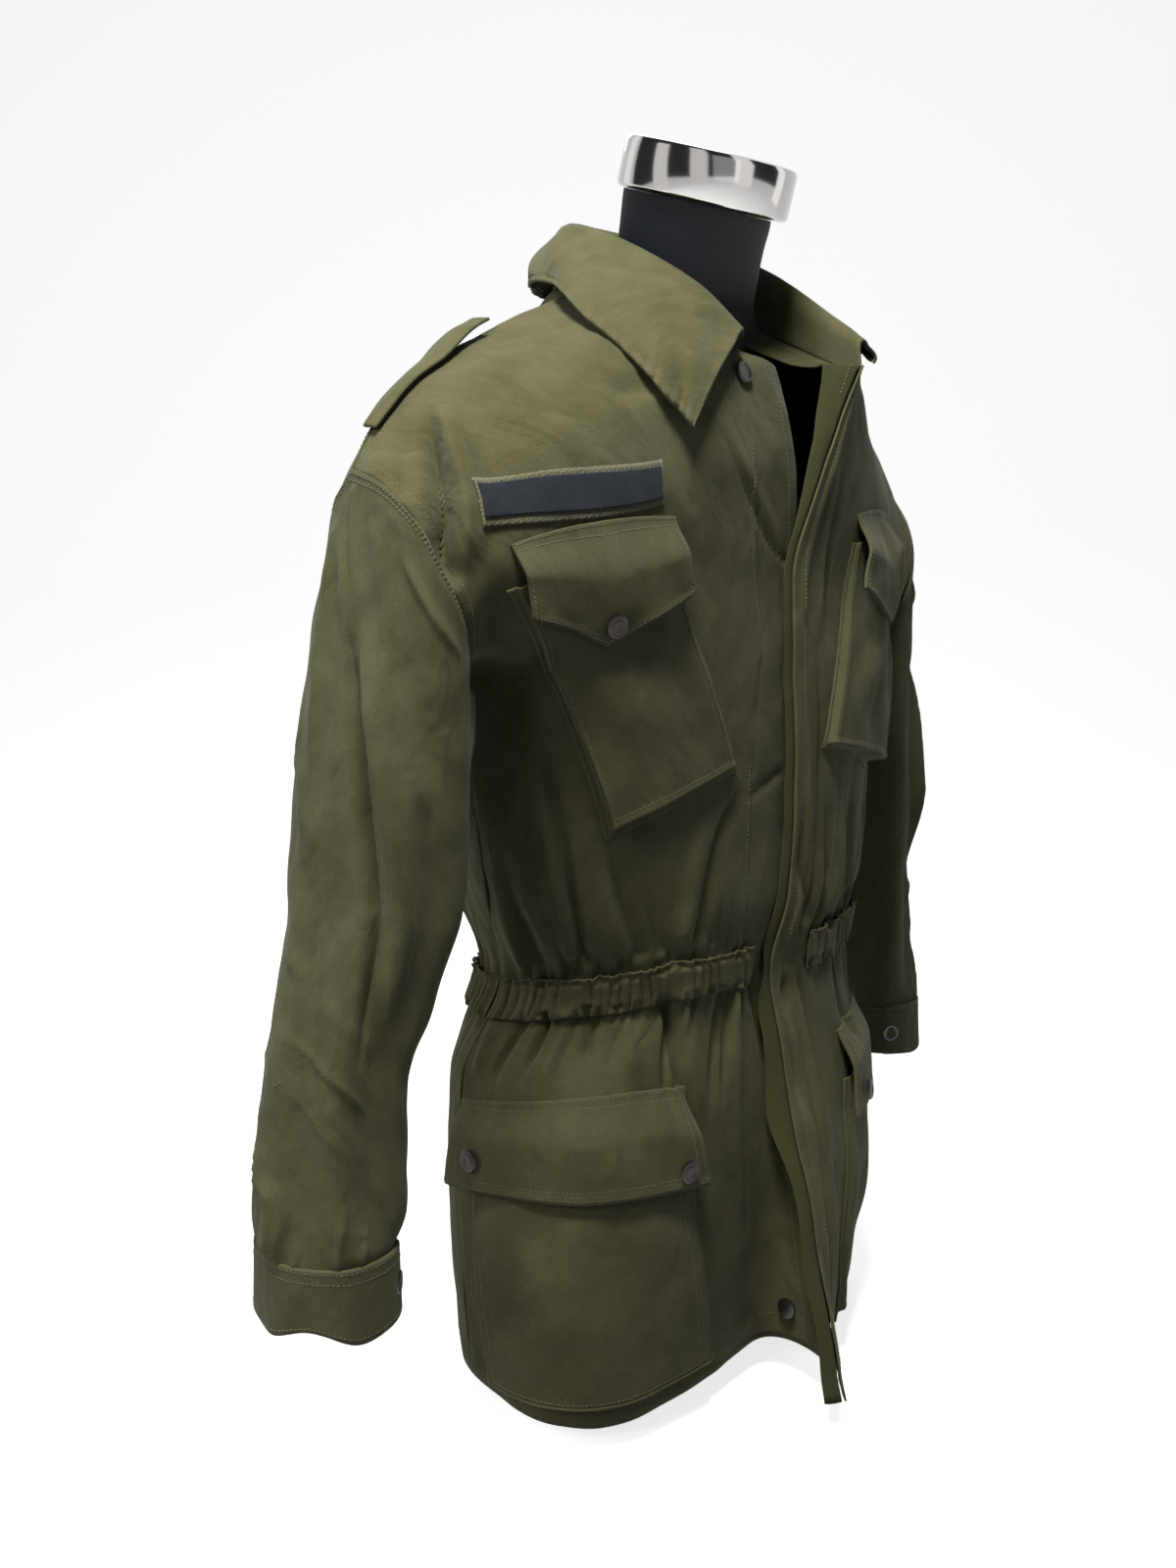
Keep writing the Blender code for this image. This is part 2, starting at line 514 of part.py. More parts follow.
def mean_normal(item):
    """Average direction in which an open surface, before its wall, faces."""
    total = Vector((0.0, 0.0, 0.0))
    for face in item.data.polygons:
        total += face.normal * face.area
    return total.normalized()


# ---------------------------------------------------------------- panels

PANEL_ROWS = (0.0, 0.1, 0.5, 1.0, 1.5, 2.0, 2.4, 2.72, 3.0, 3.28, 3.6, 4.0, 4.6, 5.3, 6.0, 6.7, 7.4,
              8.2, 9.0, 9.8, 10.6, 11.4, TOP_ROW - 0.024)
WAIST_LINE = PANEL_ROWS.index(WAIST_ROW)
SKIRT_ROWS = PANEL_ROWS[:WAIST_LINE] + (WAIST_ROW - WAIST_PARTING,)
BODICE_ROWS = (WAIST_ROW + WAIST_PARTING,) + PANEL_ROWS[WAIST_LINE + 1:]
FRONT_COLUMNS = (0.0, 0.03, 0.09, 0.16, 0.24, 0.32, 0.40, 0.48, 0.55, 0.61, 0.67, 0.73, 0.79,
                 0.85, 0.90, 0.95, 0.9985)
SHOULDER_SHARE = 1.0 - NECK_SHARE
BACK_HALF = np.concatenate([(0.0, 0.10, 0.20), NECK_SHARE + SHOULDER_SHARE * np.array(FRONT_COLUMNS)])
BACK_COLUMNS = np.concatenate([-BACK_HALF[:0:-1], BACK_HALF])


def build_front(side, name, rows, finish):
    u, row = grid(FRONT_COLUMNS, rows)
    points = front_surface(side)(u, row)
    return grid_object(name, flip_for(side, points), finish, CLOTH)


def build_back(name, rows, wall, finish):
    u, row = grid(BACK_COLUMNS, rows)
    return grid_object(name, back_surface(u, row)[:, ::-1], finish, wall)


def casing_points(surface, columns, u_start, u_end, gathers):
    """Elastic casing over the waist: a band with upright puckers, flat at its two ends."""
    share = np.linspace(0.0, 1.0, columns)
    rows = WAIST_ROW + np.array(CASING_ROWS)
    u, row = grid(u_start + (u_end - u_start) * share, rows)
    pucker = 0.5 + 0.5 * np.sin(2 * math.pi * gathers * share + 1.3 * np.sin(11.0 * share))
    lift = LAY_GAP + TRIM_CLOTH + CASING_WAVE * pucker * edge_window(share, 0.04)
    return surface(u, row, np.broadcast_to(lift, u.shape))


def build_casings(finish):
    for side, name in ((RIGHT, "waist_casing_right"), (LEFT, "waist_casing_left")):
        points = casing_points(front_surface(side), CASING_GATHERS_FRONT * 4 + 1,
                               CASING_START, 0.996, CASING_GATHERS_FRONT)
        casing = grid_object(name, flip_for(side, points), finish, TRIM_CLOTH)
        word = "right" if side == RIGHT else "left"
        seat(casing, [pieces["front_" + word], pieces["front_skirt_" + word]], -mean_normal(casing))
    points = casing_points(back_surface, CASING_GATHERS_BACK * 4 + 1, -0.996, 0.996,
                           CASING_GATHERS_BACK)
    casing = grid_object("waist_casing_back", points[:, ::-1], finish, TRIM_CLOTH)
    seat(casing, [pieces["back"], pieces["back_skirt"]], -mean_normal(casing))


def build_fly(finish):
    """Buttonhole band inside the left front's edge, which stands a little past it."""
    u, row = grid((-0.022, 0.03, 0.09, 0.13), PANEL_ROWS[:18])
    surface = front_surface(LEFT)
    inside = surface(np.clip(u, 0.0, 1.0), row, np.full(u.shape, -(CLOTH + BAND_GAP)))
    edge = surface(np.zeros_like(u), row) - surface(np.full_like(u, 0.03), row)
    inside += edge * (np.clip(-u, 0.0, 1.0) / 0.03)[..., None]
    band = grid_object("fly_band", inside, finish, TRIM_CLOTH)
    pieces["fly_band"] = seat(band, [pieces["front_left"], pieces["front_skirt_left"]], mean_normal(band))


# ---------------------------------------------------------------- sleeves and cuffs

def armhole(side, turn, share=1.0):
    """Points of the armhole, or of a line beside it. turn runs from the underarm over the front."""
    turn = np.mod(turn, 2 * math.pi)
    front_half = turn <= math.pi
    rise = np.where(front_half, turn, 2 * math.pi - turn) / math.pi
    row = UNDERARM_ROW + (TOP_ROW - UNDERARM_ROW) * rise
    front = front_base(np.full_like(turn, share), row, side)
    behind = back_base(np.full_like(turn, side * share), row)
    return np.where(front_half[..., None], front, behind)


def sleeve_turns():
    """Places round the armhole that match the rows of the panels, so the seam edges run level."""
    rise = np.array([row for row in PANEL_ROWS if row >= UNDERARM_ROW]) - UNDERARM_ROW
    rise[-1] = TOP_ROW - UNDERARM_ROW
    turn = rise / (TOP_ROW - UNDERARM_ROW) * math.pi
    return np.concatenate([turn, 2 * math.pi - turn[-2:0:-1]])


def ring(side, turn, z, x, y, across, along_depth, twist):
    """Level oval round a sleeve, its long axis turned by twist degrees."""
    twist = math.radians(twist) * side
    local_x = -np.cos(turn) * across * side
    local_y = -np.sin(turn) * along_depth
    return np.stack([side * x + local_x * math.cos(twist) - local_y * math.sin(twist),
                     y + local_x * math.sin(twist) + local_y * math.cos(twist),
                     np.full_like(turn, z)], axis=-1)


def sleeve_table(side):
    table = np.array(SLEEVE_RINGS)
    if side == LEFT:
        table[:, 1] -= np.interp(table[:, 0], *LEFT_SLEEVE_IN)
        table[:, 2] += LEFT_SLEEVE_BACK
    return table


def sleeve_rings(side, turn):
    """Rings of a sleeve from the armhole down to the cuff seam."""
    top = armhole(side, turn)
    rings = [top]
    table = sleeve_table(side)[::-1]
    for place, row in enumerate(table):
        level = ring(side, turn, *row)
        keep = 1.0 - SLEEVE_BLEND[place + 1] if place + 1 < len(SLEEVE_BLEND) else 0.0
        hang = top.copy()
        hang[:, 2] += (row[0] - HANG_TOP) * HANG_SLOPE
        hang[:, 0] += side * UNDERARM_CLEAR * (1 - keep) * (0.5 + 0.5 * np.cos(turn))
        rings.append(level * (1 - keep) + hang * keep)
    return np.array(rings)


def ring_centres(side, steps):
    """Middle of a whole sleeve at each of its steps."""
    rings = sleeve_rings(side, np.linspace(0.0, 2 * math.pi, CENTRE_TURNS, endpoint=False))
    points = along(rings, np.linspace(0.0, len(rings) - 1.0, steps))
    return points.mean(axis=1, keepdims=True)


def sleeve_points(side, turn, steps):
    rings = sleeve_rings(side, turn)
    points = along(rings, np.linspace(0.0, len(rings) - 1.0, steps))
    share = np.linspace(0.0, 1.0, steps)[:, None]
    fade = ease((share - 0.15) / 0.3) * ease((0.99 - share) / 0.15)
    fold = fade * sum(height * np.sin(count * turn + start + drift * share)
                      for height, count, start, drift in SLEEVE_WAVES)
    away = points - ring_centres(side, steps)
    away[..., 2] = 0.0
    away /= np.linalg.norm(away, axis=-1, keepdims=True)
    points = points + away * fold[..., None]
    drop = points[1] - points[0]
    drop /= np.linalg.norm(drop, axis=-1, keepdims=True)
    before = points[0] - armhole(side, turn, 0.97)
    before /= np.linalg.norm(before, axis=-1, keepdims=True)
    straight = np.clip((drop * before).sum(axis=-1), 0.0, 1.0)
    limit = MITRE_LIMIT * (0.6 + 0.4 * np.sin(turn / 2))
    mitre = np.minimum(2.6 * CLOTH * np.sqrt((1.0 - straight) / (1.0 + straight)), limit)
    points[0] += drop * (2 * SEAM_GAP + mitre)[:, None]
    return points


def build_sleeve(side, name, upper, finish):
    """One half of a two-piece sleeve: the top sleeve outside or the under sleeve inside."""
    turns = sleeve_turns()
    first, last = SLEEVE_SEAMS
    front_seam = turns[np.abs(turns - first).argmin()]
    back_seam = turns[np.abs(turns - last).argmin()]
    between = (turns > front_seam + SLEEVE_PARTING) & (turns < back_seam - SLEEVE_PARTING)
    if upper:
        turns = np.concatenate([[front_seam + SLEEVE_PARTING], turns[between], [back_seam - SLEEVE_PARTING]])
    else:
        after = turns[turns > back_seam + SLEEVE_PARTING] - 2 * math.pi
        before = turns[turns < front_seam - SLEEVE_PARTING]
        turns = np.concatenate([[back_seam + SLEEVE_PARTING - 2 * math.pi], after, before,
                                [front_seam - SLEEVE_PARTING]])
    outer = sleeve_points(side, turns, SLEEVE_STEPS)
    across = (sleeve_points(side, turns + TURN_STEP, SLEEVE_STEPS)
              - sleeve_points(side, turns - TURN_STEP, SLEEVE_STEPS))
    inward = np.cross(across, np.gradient(outer, axis=0)) * side
    inward /= np.linalg.norm(inward, axis=-1, keepdims=True)
    inward[0] = inward[0] + inward[1]
    inward[0] /= np.linalg.norm(inward[0], axis=-1, keepdims=True)
    inner = outer + inward * CLOTH
    if side == LEFT:
        outer, inner = outer[:, ::-1], inner[:, ::-1]
    return shell_object(name, outer, inner, finish)


def cuff_points(side, turn, heights):
    _, x, y, _, _, twist = sleeve_table(side)[0]
    rings = []
    for share in np.linspace(0.0, 1.0, heights):
        z = CUFF_TOP + (CUFF_BOTTOM - CUFF_TOP) * share
        rings.append(ring(side, turn, z, x, y, CUFF_ACROSS + CUFF_FLARE * share,
                          CUFF_ALONG + CUFF_FLARE * share, twist))
    return np.array(rings)


def build_cuff(side, name, finish):
    points = cuff_points(side, sleeve_turns(), 3)
    return grid_object(name, points if side == RIGHT else points[:, ::-1], finish, CUFF_CLOTH, closed=True)


# ---------------------------------------------------------------- collar

def neckline(place):
    """Neck edge of the panels at collar stations, from the right front over the back to the left."""
    far_shoulder = 2 * COLLAR_CENTRE - COLLAR_SHOULDER
    right_row = np.interp(place, (0.0, COLLAR_SHOULDER), (COLLAR_END_RIGHT, TOP_ROW))
    left_row = np.interp(place, (far_shoulder, 2 * COLLAR_CENTRE), (TOP_ROW, COLLAR_END_LEFT))
    back_u = np.interp(place, (COLLAR_SHOULDER, far_shoulder), (-NECK_SHARE, NECK_SHARE))
    edge = np.zeros_like(place)
    points = back_base(back_u, edge + TOP_ROW)
    points = np.where((place < COLLAR_SHOULDER)[:, None], front_base(edge, right_row, RIGHT), points)
    return np.where((place > far_shoulder)[:, None], front_base(edge, left_row, LEFT), points)


def collar_points(stations, profile):
    """The collar round the neck: up from the seam, over the fold and down the leaf."""
    half = np.array(COLLAR_ROWS)
    right = half.copy()
    right[..., 0] *= RIGHT
    left = half[::-1].copy()
    left[-len(LEFT_COLLAR):] = LEFT_COLLAR
    place = np.linspace(0.0, 2 * COLLAR_CENTRE, stations)
    lines_at = along(np.concatenate([right, left[1:]]), place)
    fold, leaf = lines_at[:, 0], lines_at[:, 1]
    seam = neckline(place)
    seam[:, 2] += COLLAR_RAISE
    out = leaf - seam
    out[:, 2] = 0.0
    out /= np.linalg.norm(out, axis=-1, keepdims=True)
    over = fold + out * COLLAR_TURN
    lines = []
    for share in np.linspace(0.0, 1.0, profile):
        if share < COLLAR_STAND_SHARE:
            lines.append(seam + (fold - seam) * share / COLLAR_STAND_SHARE)
        else:
            part = (share - COLLAR_STAND_SHARE) / (1.0 - COLLAR_STAND_SHARE)
            bow = COLLAR_BOW * math.sin(math.pi * part)
            lines.append(over + (leaf - over) * part + out * bow)
    return np.array(lines)


def build_collar(finish):
    points = collar_points(25, 8)
    return grid_object("collar", points[::-1], finish, COLLAR_CLOTH)


# ---------------------------------------------------------------- pieces on the fronts

def patch_uv(corners, across, down):
    """Bilinear (u, row) over a patch; across runs outwards, down runs from top to bottom."""
    inner_low, outer_low, outer_high, inner_high = (np.array(corner) for corner in corners)
    s, t = np.meshgrid(np.asarray(across), np.asarray(down))
    s, t = s[..., None], t[..., None]
    place = (inner_high * (1 - s) + outer_high * s) * (1 - t) + \
        (inner_low * (1 - s) + outer_low * s) * t
    return place[..., 0], place[..., 1], s[..., 0], t[..., 0]


def build_pocket(side, name, corners, across, bulge, finish):
    """Bellows pocket: a raised bag whose sides fold back to the panel."""
    u, row, s, t = patch_uv(corners, across, POCKET_STEPS)
    rise = ease(np.minimum(s, 1 - s) / 0.10) * ease((1 - t) / 0.10) * (0.15 + 0.85 * ease((t - 0.05) / 0.6))
    lift = POCKET_GAP + TRIM_CLOTH + bulge * rise
    points = front_surface(side)(u, row, lift)[::-1]
    return grid_object(name, flip_for(side, points), finish, TRIM_CLOTH)


def flap_uv(corners, across, point):
    """Flap with a lower edge that comes to a blunt point, or dips softly."""
    u, row, s, t = patch_uv(corners, across, FLAP_STEPS_DOWN)
    dip = point * (1 - np.abs(2 * s - 1))
    return u, row - dip * t, s, t


def build_flap(side, name, corners, across, point, lift_low, finish):
    u, row, s, t = flap_uv(corners, across, point)
    lift = LAY_GAP + TRIM_CLOTH + lift_low * ease(t / 0.55)
    points = front_surface(side)(u, row, lift)[::-1]
    return grid_object(name, flip_for(side, points), finish, TRIM_CLOTH)


def build_tapes(loop_finish, tape_finish):
    surface = front_surface(RIGHT)
    steps = np.linspace(0.0, 1.0, 9)
    u, row, s, t = patch_uv(NAME_TAPE, steps, (0.0, 0.5, 1.0))
    points = surface(u, row, np.full(u.shape, LAY_GAP + TAPE_CLOTH))[::-1]
    loop = grid_object("name_tape_loop", points[:, ::-1], loop_finish, TAPE_CLOTH)
    seat(loop, [pieces["front_right"]], -mean_normal(loop))
    u, row, s, t = patch_uv(NAME_TAPE, 0.03 + 0.94 * steps, (0.22, 0.5, 0.80))
    points = surface(u, row, np.full(u.shape, LAY_GAP + TAPE_STEP))[::-1]
    strip = grid_object("name_tape_strip", points[:, ::-1], tape_finish, TAPE_CLOTH)
    seat(strip, [loop], -mean_normal(strip))


def down_from_shoulder(surface, u, width, lift):
    """Point of a panel at a given distance down from the shoulder seam, moved out by lift."""
    row = np.linspace(TOP_ROW - 0.03, 9.0, 41)[None]
    line = surface(np.full_like(row, u), row, np.full_like(row, lift))[0]
    steps = np.linalg.norm(np.diff(line, axis=0), axis=1)
    length = np.concatenate([[0.0], np.cumsum(steps)])
    return [np.interp(width, length, line[:, axis]) for axis in range(3)]


def build_epaulette(side, name, finish):
    """Shoulder strap from the armhole seam towards the neck, its free end lifted."""
    share = np.linspace(0.0, 1.0, 9)
    lines = []
    for u, width, lift in zip(STRAP_START + (STRAP_END - STRAP_START) * share,
                              STRAP_HALF_WIDTH * (1.0 + 0.12 * share),
                              LAY_GAP + TRIM_CLOTH + STRAP_LIFT * np.sin(math.pi * share)
                              + STRAP_END_LIFT * ease((share - 0.55) / 0.45)):
        back_u = side * (NECK_SHARE + SHOULDER_SHARE * u)
        places = [(front_surface(side), u, part) for part in (1.0, 0.5, 0.0)]
        places += [(back_surface, back_u, part) for part in (0.5, 1.0)]
        lines.append([down_from_shoulder(surface, across, width * part + 0.001, lift)
                      for surface, across, part in places])
    points = np.array(lines)
    return grid_object(name, points if side == RIGHT else points[::-1], finish, TRIM_CLOTH)


def disc(name, centre, normal, radius, height, finish, sides=14):
    """Round fastener with a chamfered face, its back plate flat towards the cloth."""
    mesh = bpy.data.meshes.new(name)
    build = bmesh.new()
    bmesh.ops.create_cone(build, cap_ends=True, cap_tris=False, segments=sides,
                          radius1=radius, radius2=radius * 0.82, depth=height)
    turn = Vector(normal).to_track_quat("Z", "Y").to_matrix().to_4x4()
    place = Matrix.Translation(Vector(centre) + Vector(normal) * (height / 2)) @ turn
    bmesh.ops.transform(build, matrix=place, verts=build.verts)
    build.to_mesh(mesh)
    build.free()
    item = bpy.data.objects.new(name, mesh)
    collection.objects.link(item)
    mesh.materials.append(finish)
    mesh.shade_smooth()
    mesh.set_sharp_from_angle(angle=math.radians(35.0))
    return item


def point_on_front(side, u, row, lift):
    u, row = np.array([[u]]), np.array([[row]])
    surface = front_surface(side)
    point = surface(u, row, np.array([[lift]]))[0, 0]
    normal = surface(u, row, np.array([[lift + 0.01]]))[0, 0] - point
    return point, normal / np.linalg.norm(normal)


def build_snaps(finish):
    for side, word in ((RIGHT, "right"), (LEFT, "left")):
        spots = (("chest_snap_", CHEST_FLAP[side], 0.5, 0.80, CHEST_POINT, CHEST_LIFT),
                 ("lower_snap_inner_", LOWER_FLAP[side], 0.09, 0.76, LOWER_POINT, LOWER_LIFT),
                 ("lower_snap_outer_", LOWER_FLAP[side], 0.91, 0.76, LOWER_POINT, LOWER_LIFT))
        for start, corners, s, t, dip, lift_low in spots:
            u, row, _, _ = patch_uv(corners, (s,), (t,))
            row = row - dip * (1 - abs(2 * s - 1)) * t
            lift = LAY_GAP + TRIM_CLOTH + lift_low * float(ease(t / 0.55)) + STEP_OVER
            point, normal = point_on_front(side, u[0, 0], row[0, 0], lift)
            snap = disc(start + word, point, normal, SNAP_RADIUS, SNAP_HEIGHT, finish)
            seat(snap, [pieces[start.split("_")[0] + "_flap_" + word]], -normal)


def build_buttons(finish):
    for name, row, u in (("top_button", 9.08, 0.170), ("placket_button_lower", 0.22, 0.060)):
        point, normal = point_on_front(RIGHT, u, row, STEP_OVER)
        button = disc(name, point, normal, BUTTON_RADIUS, BUTTON_HEIGHT, finish)
        seat(button, [pieces["front_right"], pieces["front_skirt_right"]], -normal)
    point, normal = point_on_front(LEFT, 0.045, 1.22, -(CLOTH + TRIM_CLOTH + STEP_OVER))
    button = disc("placket_button_upper", point, -normal, BUTTON_RADIUS, BUTTON_HEIGHT, finish)
    seat(button, [pieces["fly_band"]], normal)
    for side, word in ((RIGHT, "right"), (LEFT, "left")):
        middle = cuff_points(side, np.linspace(0.0, 2 * math.pi, 72, endpoint=False), 3)[1]
        spot = middle[CUFF_BUTTON_PLACE]
        tangent = middle[CUFF_BUTTON_PLACE + 1] - middle[CUFF_BUTTON_PLACE - 1]
        normal = np.cross(tangent, (0.0, 0.0, side))
        normal /= np.linalg.norm(normal)
        button = disc("cuff_button_" + word, spot + normal * CUFF_BUTTON_OVER, normal, BUTTON_RADIUS,
                      BUTTON_HEIGHT, finish)
        seat(button, [pieces["cuff_" + word]], -normal)


# ---------------------------------------------------------------- dress form

def build_form(black, chrome):
    """Smooth limbless torso with a flat foot, and the bright cap on its neck."""
    rings = np.array(FORM_RINGS)
    turn = np.linspace(0.0, 2 * math.pi, FORM_SIDES, endpoint=False)
    near_neck = np.exp(-((rings[:, :1] - NECK_BASE) / 0.008) ** 2)
    x = rings[:, 1:2] * np.cos(turn) - FORM_SHIFT * near_neck
    y = rings[:, 3:4] + rings[:, 2:3] * np.sin(turn)
    points = np.stack([x, y, np.broadcast_to(rings[:, :1], x.shape)], axis=-1)
    lean = points[-1] - np.array((0.0, rings[-1, 3], rings[-1, 0]))
    points[-1, :, 2] += lean[:, 1] * math.tan(CAP_TILT)
    points[-2, :, 2] += lean[:, 1] * math.tan(CAP_TILT) * 0.6
    item = grid_object("form_torso", points, black, closed=True)
    build = bmesh.new()
    build.from_mesh(item.data)
    bmesh.ops.holes_fill(build, edges=[edge for edge in build.edges if edge.is_boundary])
    bmesh.ops.recalc_face_normals(build, faces=build.faces)
    build.to_mesh(item.data)
    build.free()
    item.data.set_sharp_from_angle(angle=math.radians(40.0))

    mesh = bpy.data.meshes.new("neck_cap")
    build = bmesh.new()
    bmesh.ops.create_cone(build, cap_ends=True, cap_tris=False, segments=28,
                          radius1=CAP_RADIUS, radius2=CAP_RADIUS, depth=CAP_HEIGHT)
    rims = [edge for edge in build.edges if edge.calc_face_angle(0.0) > 1.0]
    bmesh.ops.bevel(build, geom=rims, offset=0.004, segments=2, affect="EDGES", profile=0.5)
    place = Matrix.Translation(CAP_CENTRE) @ Matrix.Rotation(CAP_TILT, 4, "X")
    bmesh.ops.transform(build, matrix=place, verts=build.verts)
    build.to_mesh(mesh)
    build.free()
    cap = bpy.data.objects.new("neck_cap", mesh)
    collection.objects.link(cap)
    mesh.materials.append(chrome)
    mesh.shade_smooth()
    mesh.set_sharp_from_angle(angle=math.radians(35.0))


# ---------------------------------------------------------------- the whole

clear_scene()
collection = bpy.data.collections.new("field_jacket_on_dress_form")
bpy.context.scene.collection.children.link(collection)

olive = material("olive_twill", OLIVE)
olive_dark = material("olive_twill_inside", OLIVE_DARK)
loop_tape = material("olive_loop_tape", TAPE_LOOP)
navy_tape = material("navy_tape", TAPE_NAVY)
gunmetal = material("gunmetal", GUNMETAL)
button_brown = material("dark_brown_button", BUTTON_BROWN)
form_black = material("form_black", FORM_BLACK)
chrome_metal = material("chrome", CHROME)

pieces = {"back": build_back("back", BODICE_ROWS, BACK_CLOTH, olive),
          "back_skirt": build_back("back_skirt", SKIRT_ROWS, CLOTH, olive)}
for body_side, word in ((RIGHT, "right"), (LEFT, "left")):
    front = build_front(body_side, "front_" + word, BODICE_ROWS, olive)
    skirt = build_front(body_side, "front_skirt_" + word, SKIRT_ROWS, olive)
    pieces["front_" + word] = front
    pieces["front_skirt_" + word] = skirt
    sleeve = [build_sleeve(body_side, "sleeve_top_" + word, True, olive),
              build_sleeve(body_side, "sleeve_under_" + word, False, olive)]
    pieces["cuff_" + word] = seat(build_cuff(body_side, "cuff_" + word, olive), sleeve, UP)
    for kind, carrier, pocket_at, flap_at, steps_down, steps, point, bulge, lift in (
            ("chest", front, CHEST_POCKET, CHEST_FLAP, POCKET_STEPS, FLAP_STEPS_ACROSS,
             CHEST_POINT, CHEST_BULGE, CHEST_LIFT),
            ("lower", skirt, LOWER_POCKET, LOWER_FLAP, LOWER_STEPS, LOWER_STEPS,
             LOWER_POINT, LOWER_BULGE, LOWER_LIFT)):
        pocket = build_pocket(body_side, kind + "_pocket_" + word, pocket_at[body_side], steps_down,
                              bulge, olive)
        seat(pocket, [carrier], -mean_normal(pocket))
        flap = build_flap(body_side, kind + "_flap_" + word, flap_at[body_side], steps, point, lift, olive)
        pieces[kind + "_flap_" + word] = seat(flap, [carrier, pocket], -mean_normal(flap))
    strap = build_epaulette(body_side, "epaulette_" + word, olive)
    seat(strap, [front, pieces["back"]], DOWN)
build_casings(olive)
build_fly(olive_dark)
seat(build_collar(olive), [pieces["front_right"], pieces["front_left"], pieces["back"]], DOWN)
build_tapes(loop_tape, navy_tape)
build_snaps(gunmetal)
build_buttons(button_brown)
build_form(form_black, chrome_metal)
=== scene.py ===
import math

import bmesh
import bpy
import numpy as np
from mathutils import Matrix, Vector


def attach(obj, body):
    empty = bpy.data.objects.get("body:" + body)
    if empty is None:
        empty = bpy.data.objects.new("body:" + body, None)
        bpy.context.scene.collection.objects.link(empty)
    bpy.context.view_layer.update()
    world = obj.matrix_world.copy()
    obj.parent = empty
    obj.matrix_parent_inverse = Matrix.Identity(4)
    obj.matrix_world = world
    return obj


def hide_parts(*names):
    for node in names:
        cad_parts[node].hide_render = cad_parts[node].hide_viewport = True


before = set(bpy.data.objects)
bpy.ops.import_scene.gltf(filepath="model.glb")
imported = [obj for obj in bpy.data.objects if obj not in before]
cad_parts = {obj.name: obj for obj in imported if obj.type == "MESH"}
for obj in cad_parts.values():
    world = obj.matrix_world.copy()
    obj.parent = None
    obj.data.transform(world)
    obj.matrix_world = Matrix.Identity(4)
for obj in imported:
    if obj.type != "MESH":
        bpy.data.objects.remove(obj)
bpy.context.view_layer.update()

right = -1.0
left = 1.0
words = {right: "right", left: "left"}
collection = bpy.context.scene.collection

# The looks of a worn field jacket on a dress form. Every cloth piece is a surface worked out from
# a short table, the same tables that its solid is made from, at a fine pitch and with its folds.
# A place on a front or on the back is u, from its inner edge outwards, and row, from the hem at 0
# past the waist at 3 and the underarm at 6 to the shoulder seam at 12. A place on a sleeve is the
# share of a turn round it and v, from the armhole at 0 to the cuff seam at 1. Lengths are in metres.

lens = {
    "place": (-0.943, -0.708, 0.620),
    "pitch": 9.672,            # degrees below level
    "heading": 50.109,         # degrees from the way that the back of the jacket faces
    "focalLength": 37.16,
}
pitch = 1


def makeCamera():
    # The camera stands at its place, turned by its heading and tipped down by its pitch.
    data = bpy.data.cameras.new("camera")
    data.lens = lens["focalLength"]
    data.sensor_width = 36.0
    data.clip_start = 0.05
    item = bpy.data.objects.new("camera", data)
    item.location = lens["place"]
    item.rotation_euler = (math.radians(90.0 - lens["pitch"]), 0.0, -math.radians(lens["heading"]))
    collection.objects.link(item)
    bpy.context.scene.camera = item


makeCamera()


def ease(value):
    # Smooth step: 3v^2 - 2v^3 of a value held between 0 and 1.
    value = np.clip(value, 0.0, 1.0)
    return value * value * (3.0 - 2.0 * value)


def slopesOf(table):
    # The harmonic mean of the steps on both sides of each row, and 0 where they turn back.
    step = np.diff(table, axis=0)
    before, after = step[:-1], step[1:]
    sameWay = before * after > 0
    total = np.where(sameWay, before + after, 1.0)
    slope = np.zeros_like(table)
    slope[1:-1] = np.where(sameWay, 2 * before * after / total, 0.0)
    slope[0], slope[-1] = step[0], step[-1]
    return slope


def hermite(start, end, slopeStart, slopeEnd, part):
    # The cubic from start to end, part 0 to 1, that leaves and arrives with the two slopes.
    return (start * (1 + 2 * part) * (1 - part) ** 2 + slopeStart * part * (1 - part) ** 2
            + end * part ** 2 * (3 - 2 * part) - slopeEnd * part ** 2 * (1 - part))


def along(table, position):
    # Hermite curve through the rows of a table at a position counted in rows.
    table = np.asarray(table, dtype=float)
    slope = slopesOf(table)
    position = np.clip(np.asarray(position, dtype=float), 0.0, len(table) - 1.0)
    low = np.minimum(position.astype(int), len(table) - 2)
    part = (position - low).reshape(position.shape + (1,) * (table.ndim - 1))
    return hermite(table[low], table[low + 1], slope[low], slope[low + 1], part)


def bezier(handles, u):
    # Cubic Bezier: the four handles weighted by (1-u)^3, 3u(1-u)^2, 3u^2(1-u) and u^3.
    u = u[..., None]
    return (handles[..., 0, :] * (1 - u) ** 3 + handles[..., 1, :] * 3 * u * (1 - u) ** 2
            + handles[..., 2, :] * 3 * u * u * (1 - u) + handles[..., 3, :] * u ** 3)


def unit(vectors):
    # Each vector divided by its length.
    return vectors / (np.linalg.norm(vectors, axis=-1, keepdims=True) + 1e-12)


def hump(share, width):
    # 1 in the middle, eased to 0 over the width at both ends of 0..1.
    return ease(share / width) * ease((1 - share) / width)


def foldLine(surface, path):
    # Points in space along a fold: a quadratic curve through its low, middle and high places.
    low, middle, high = (np.array(place) for place in path)
    part = np.linspace(0.0, 1.0, 15)[:, None]
    bend = 2 * middle - 0.5 * (low + high)
    places = low * (1 - part) ** 2 + bend * 2 * part * (1 - part) + high * part ** 2
    return surface(places[:, 0], places[:, 1])


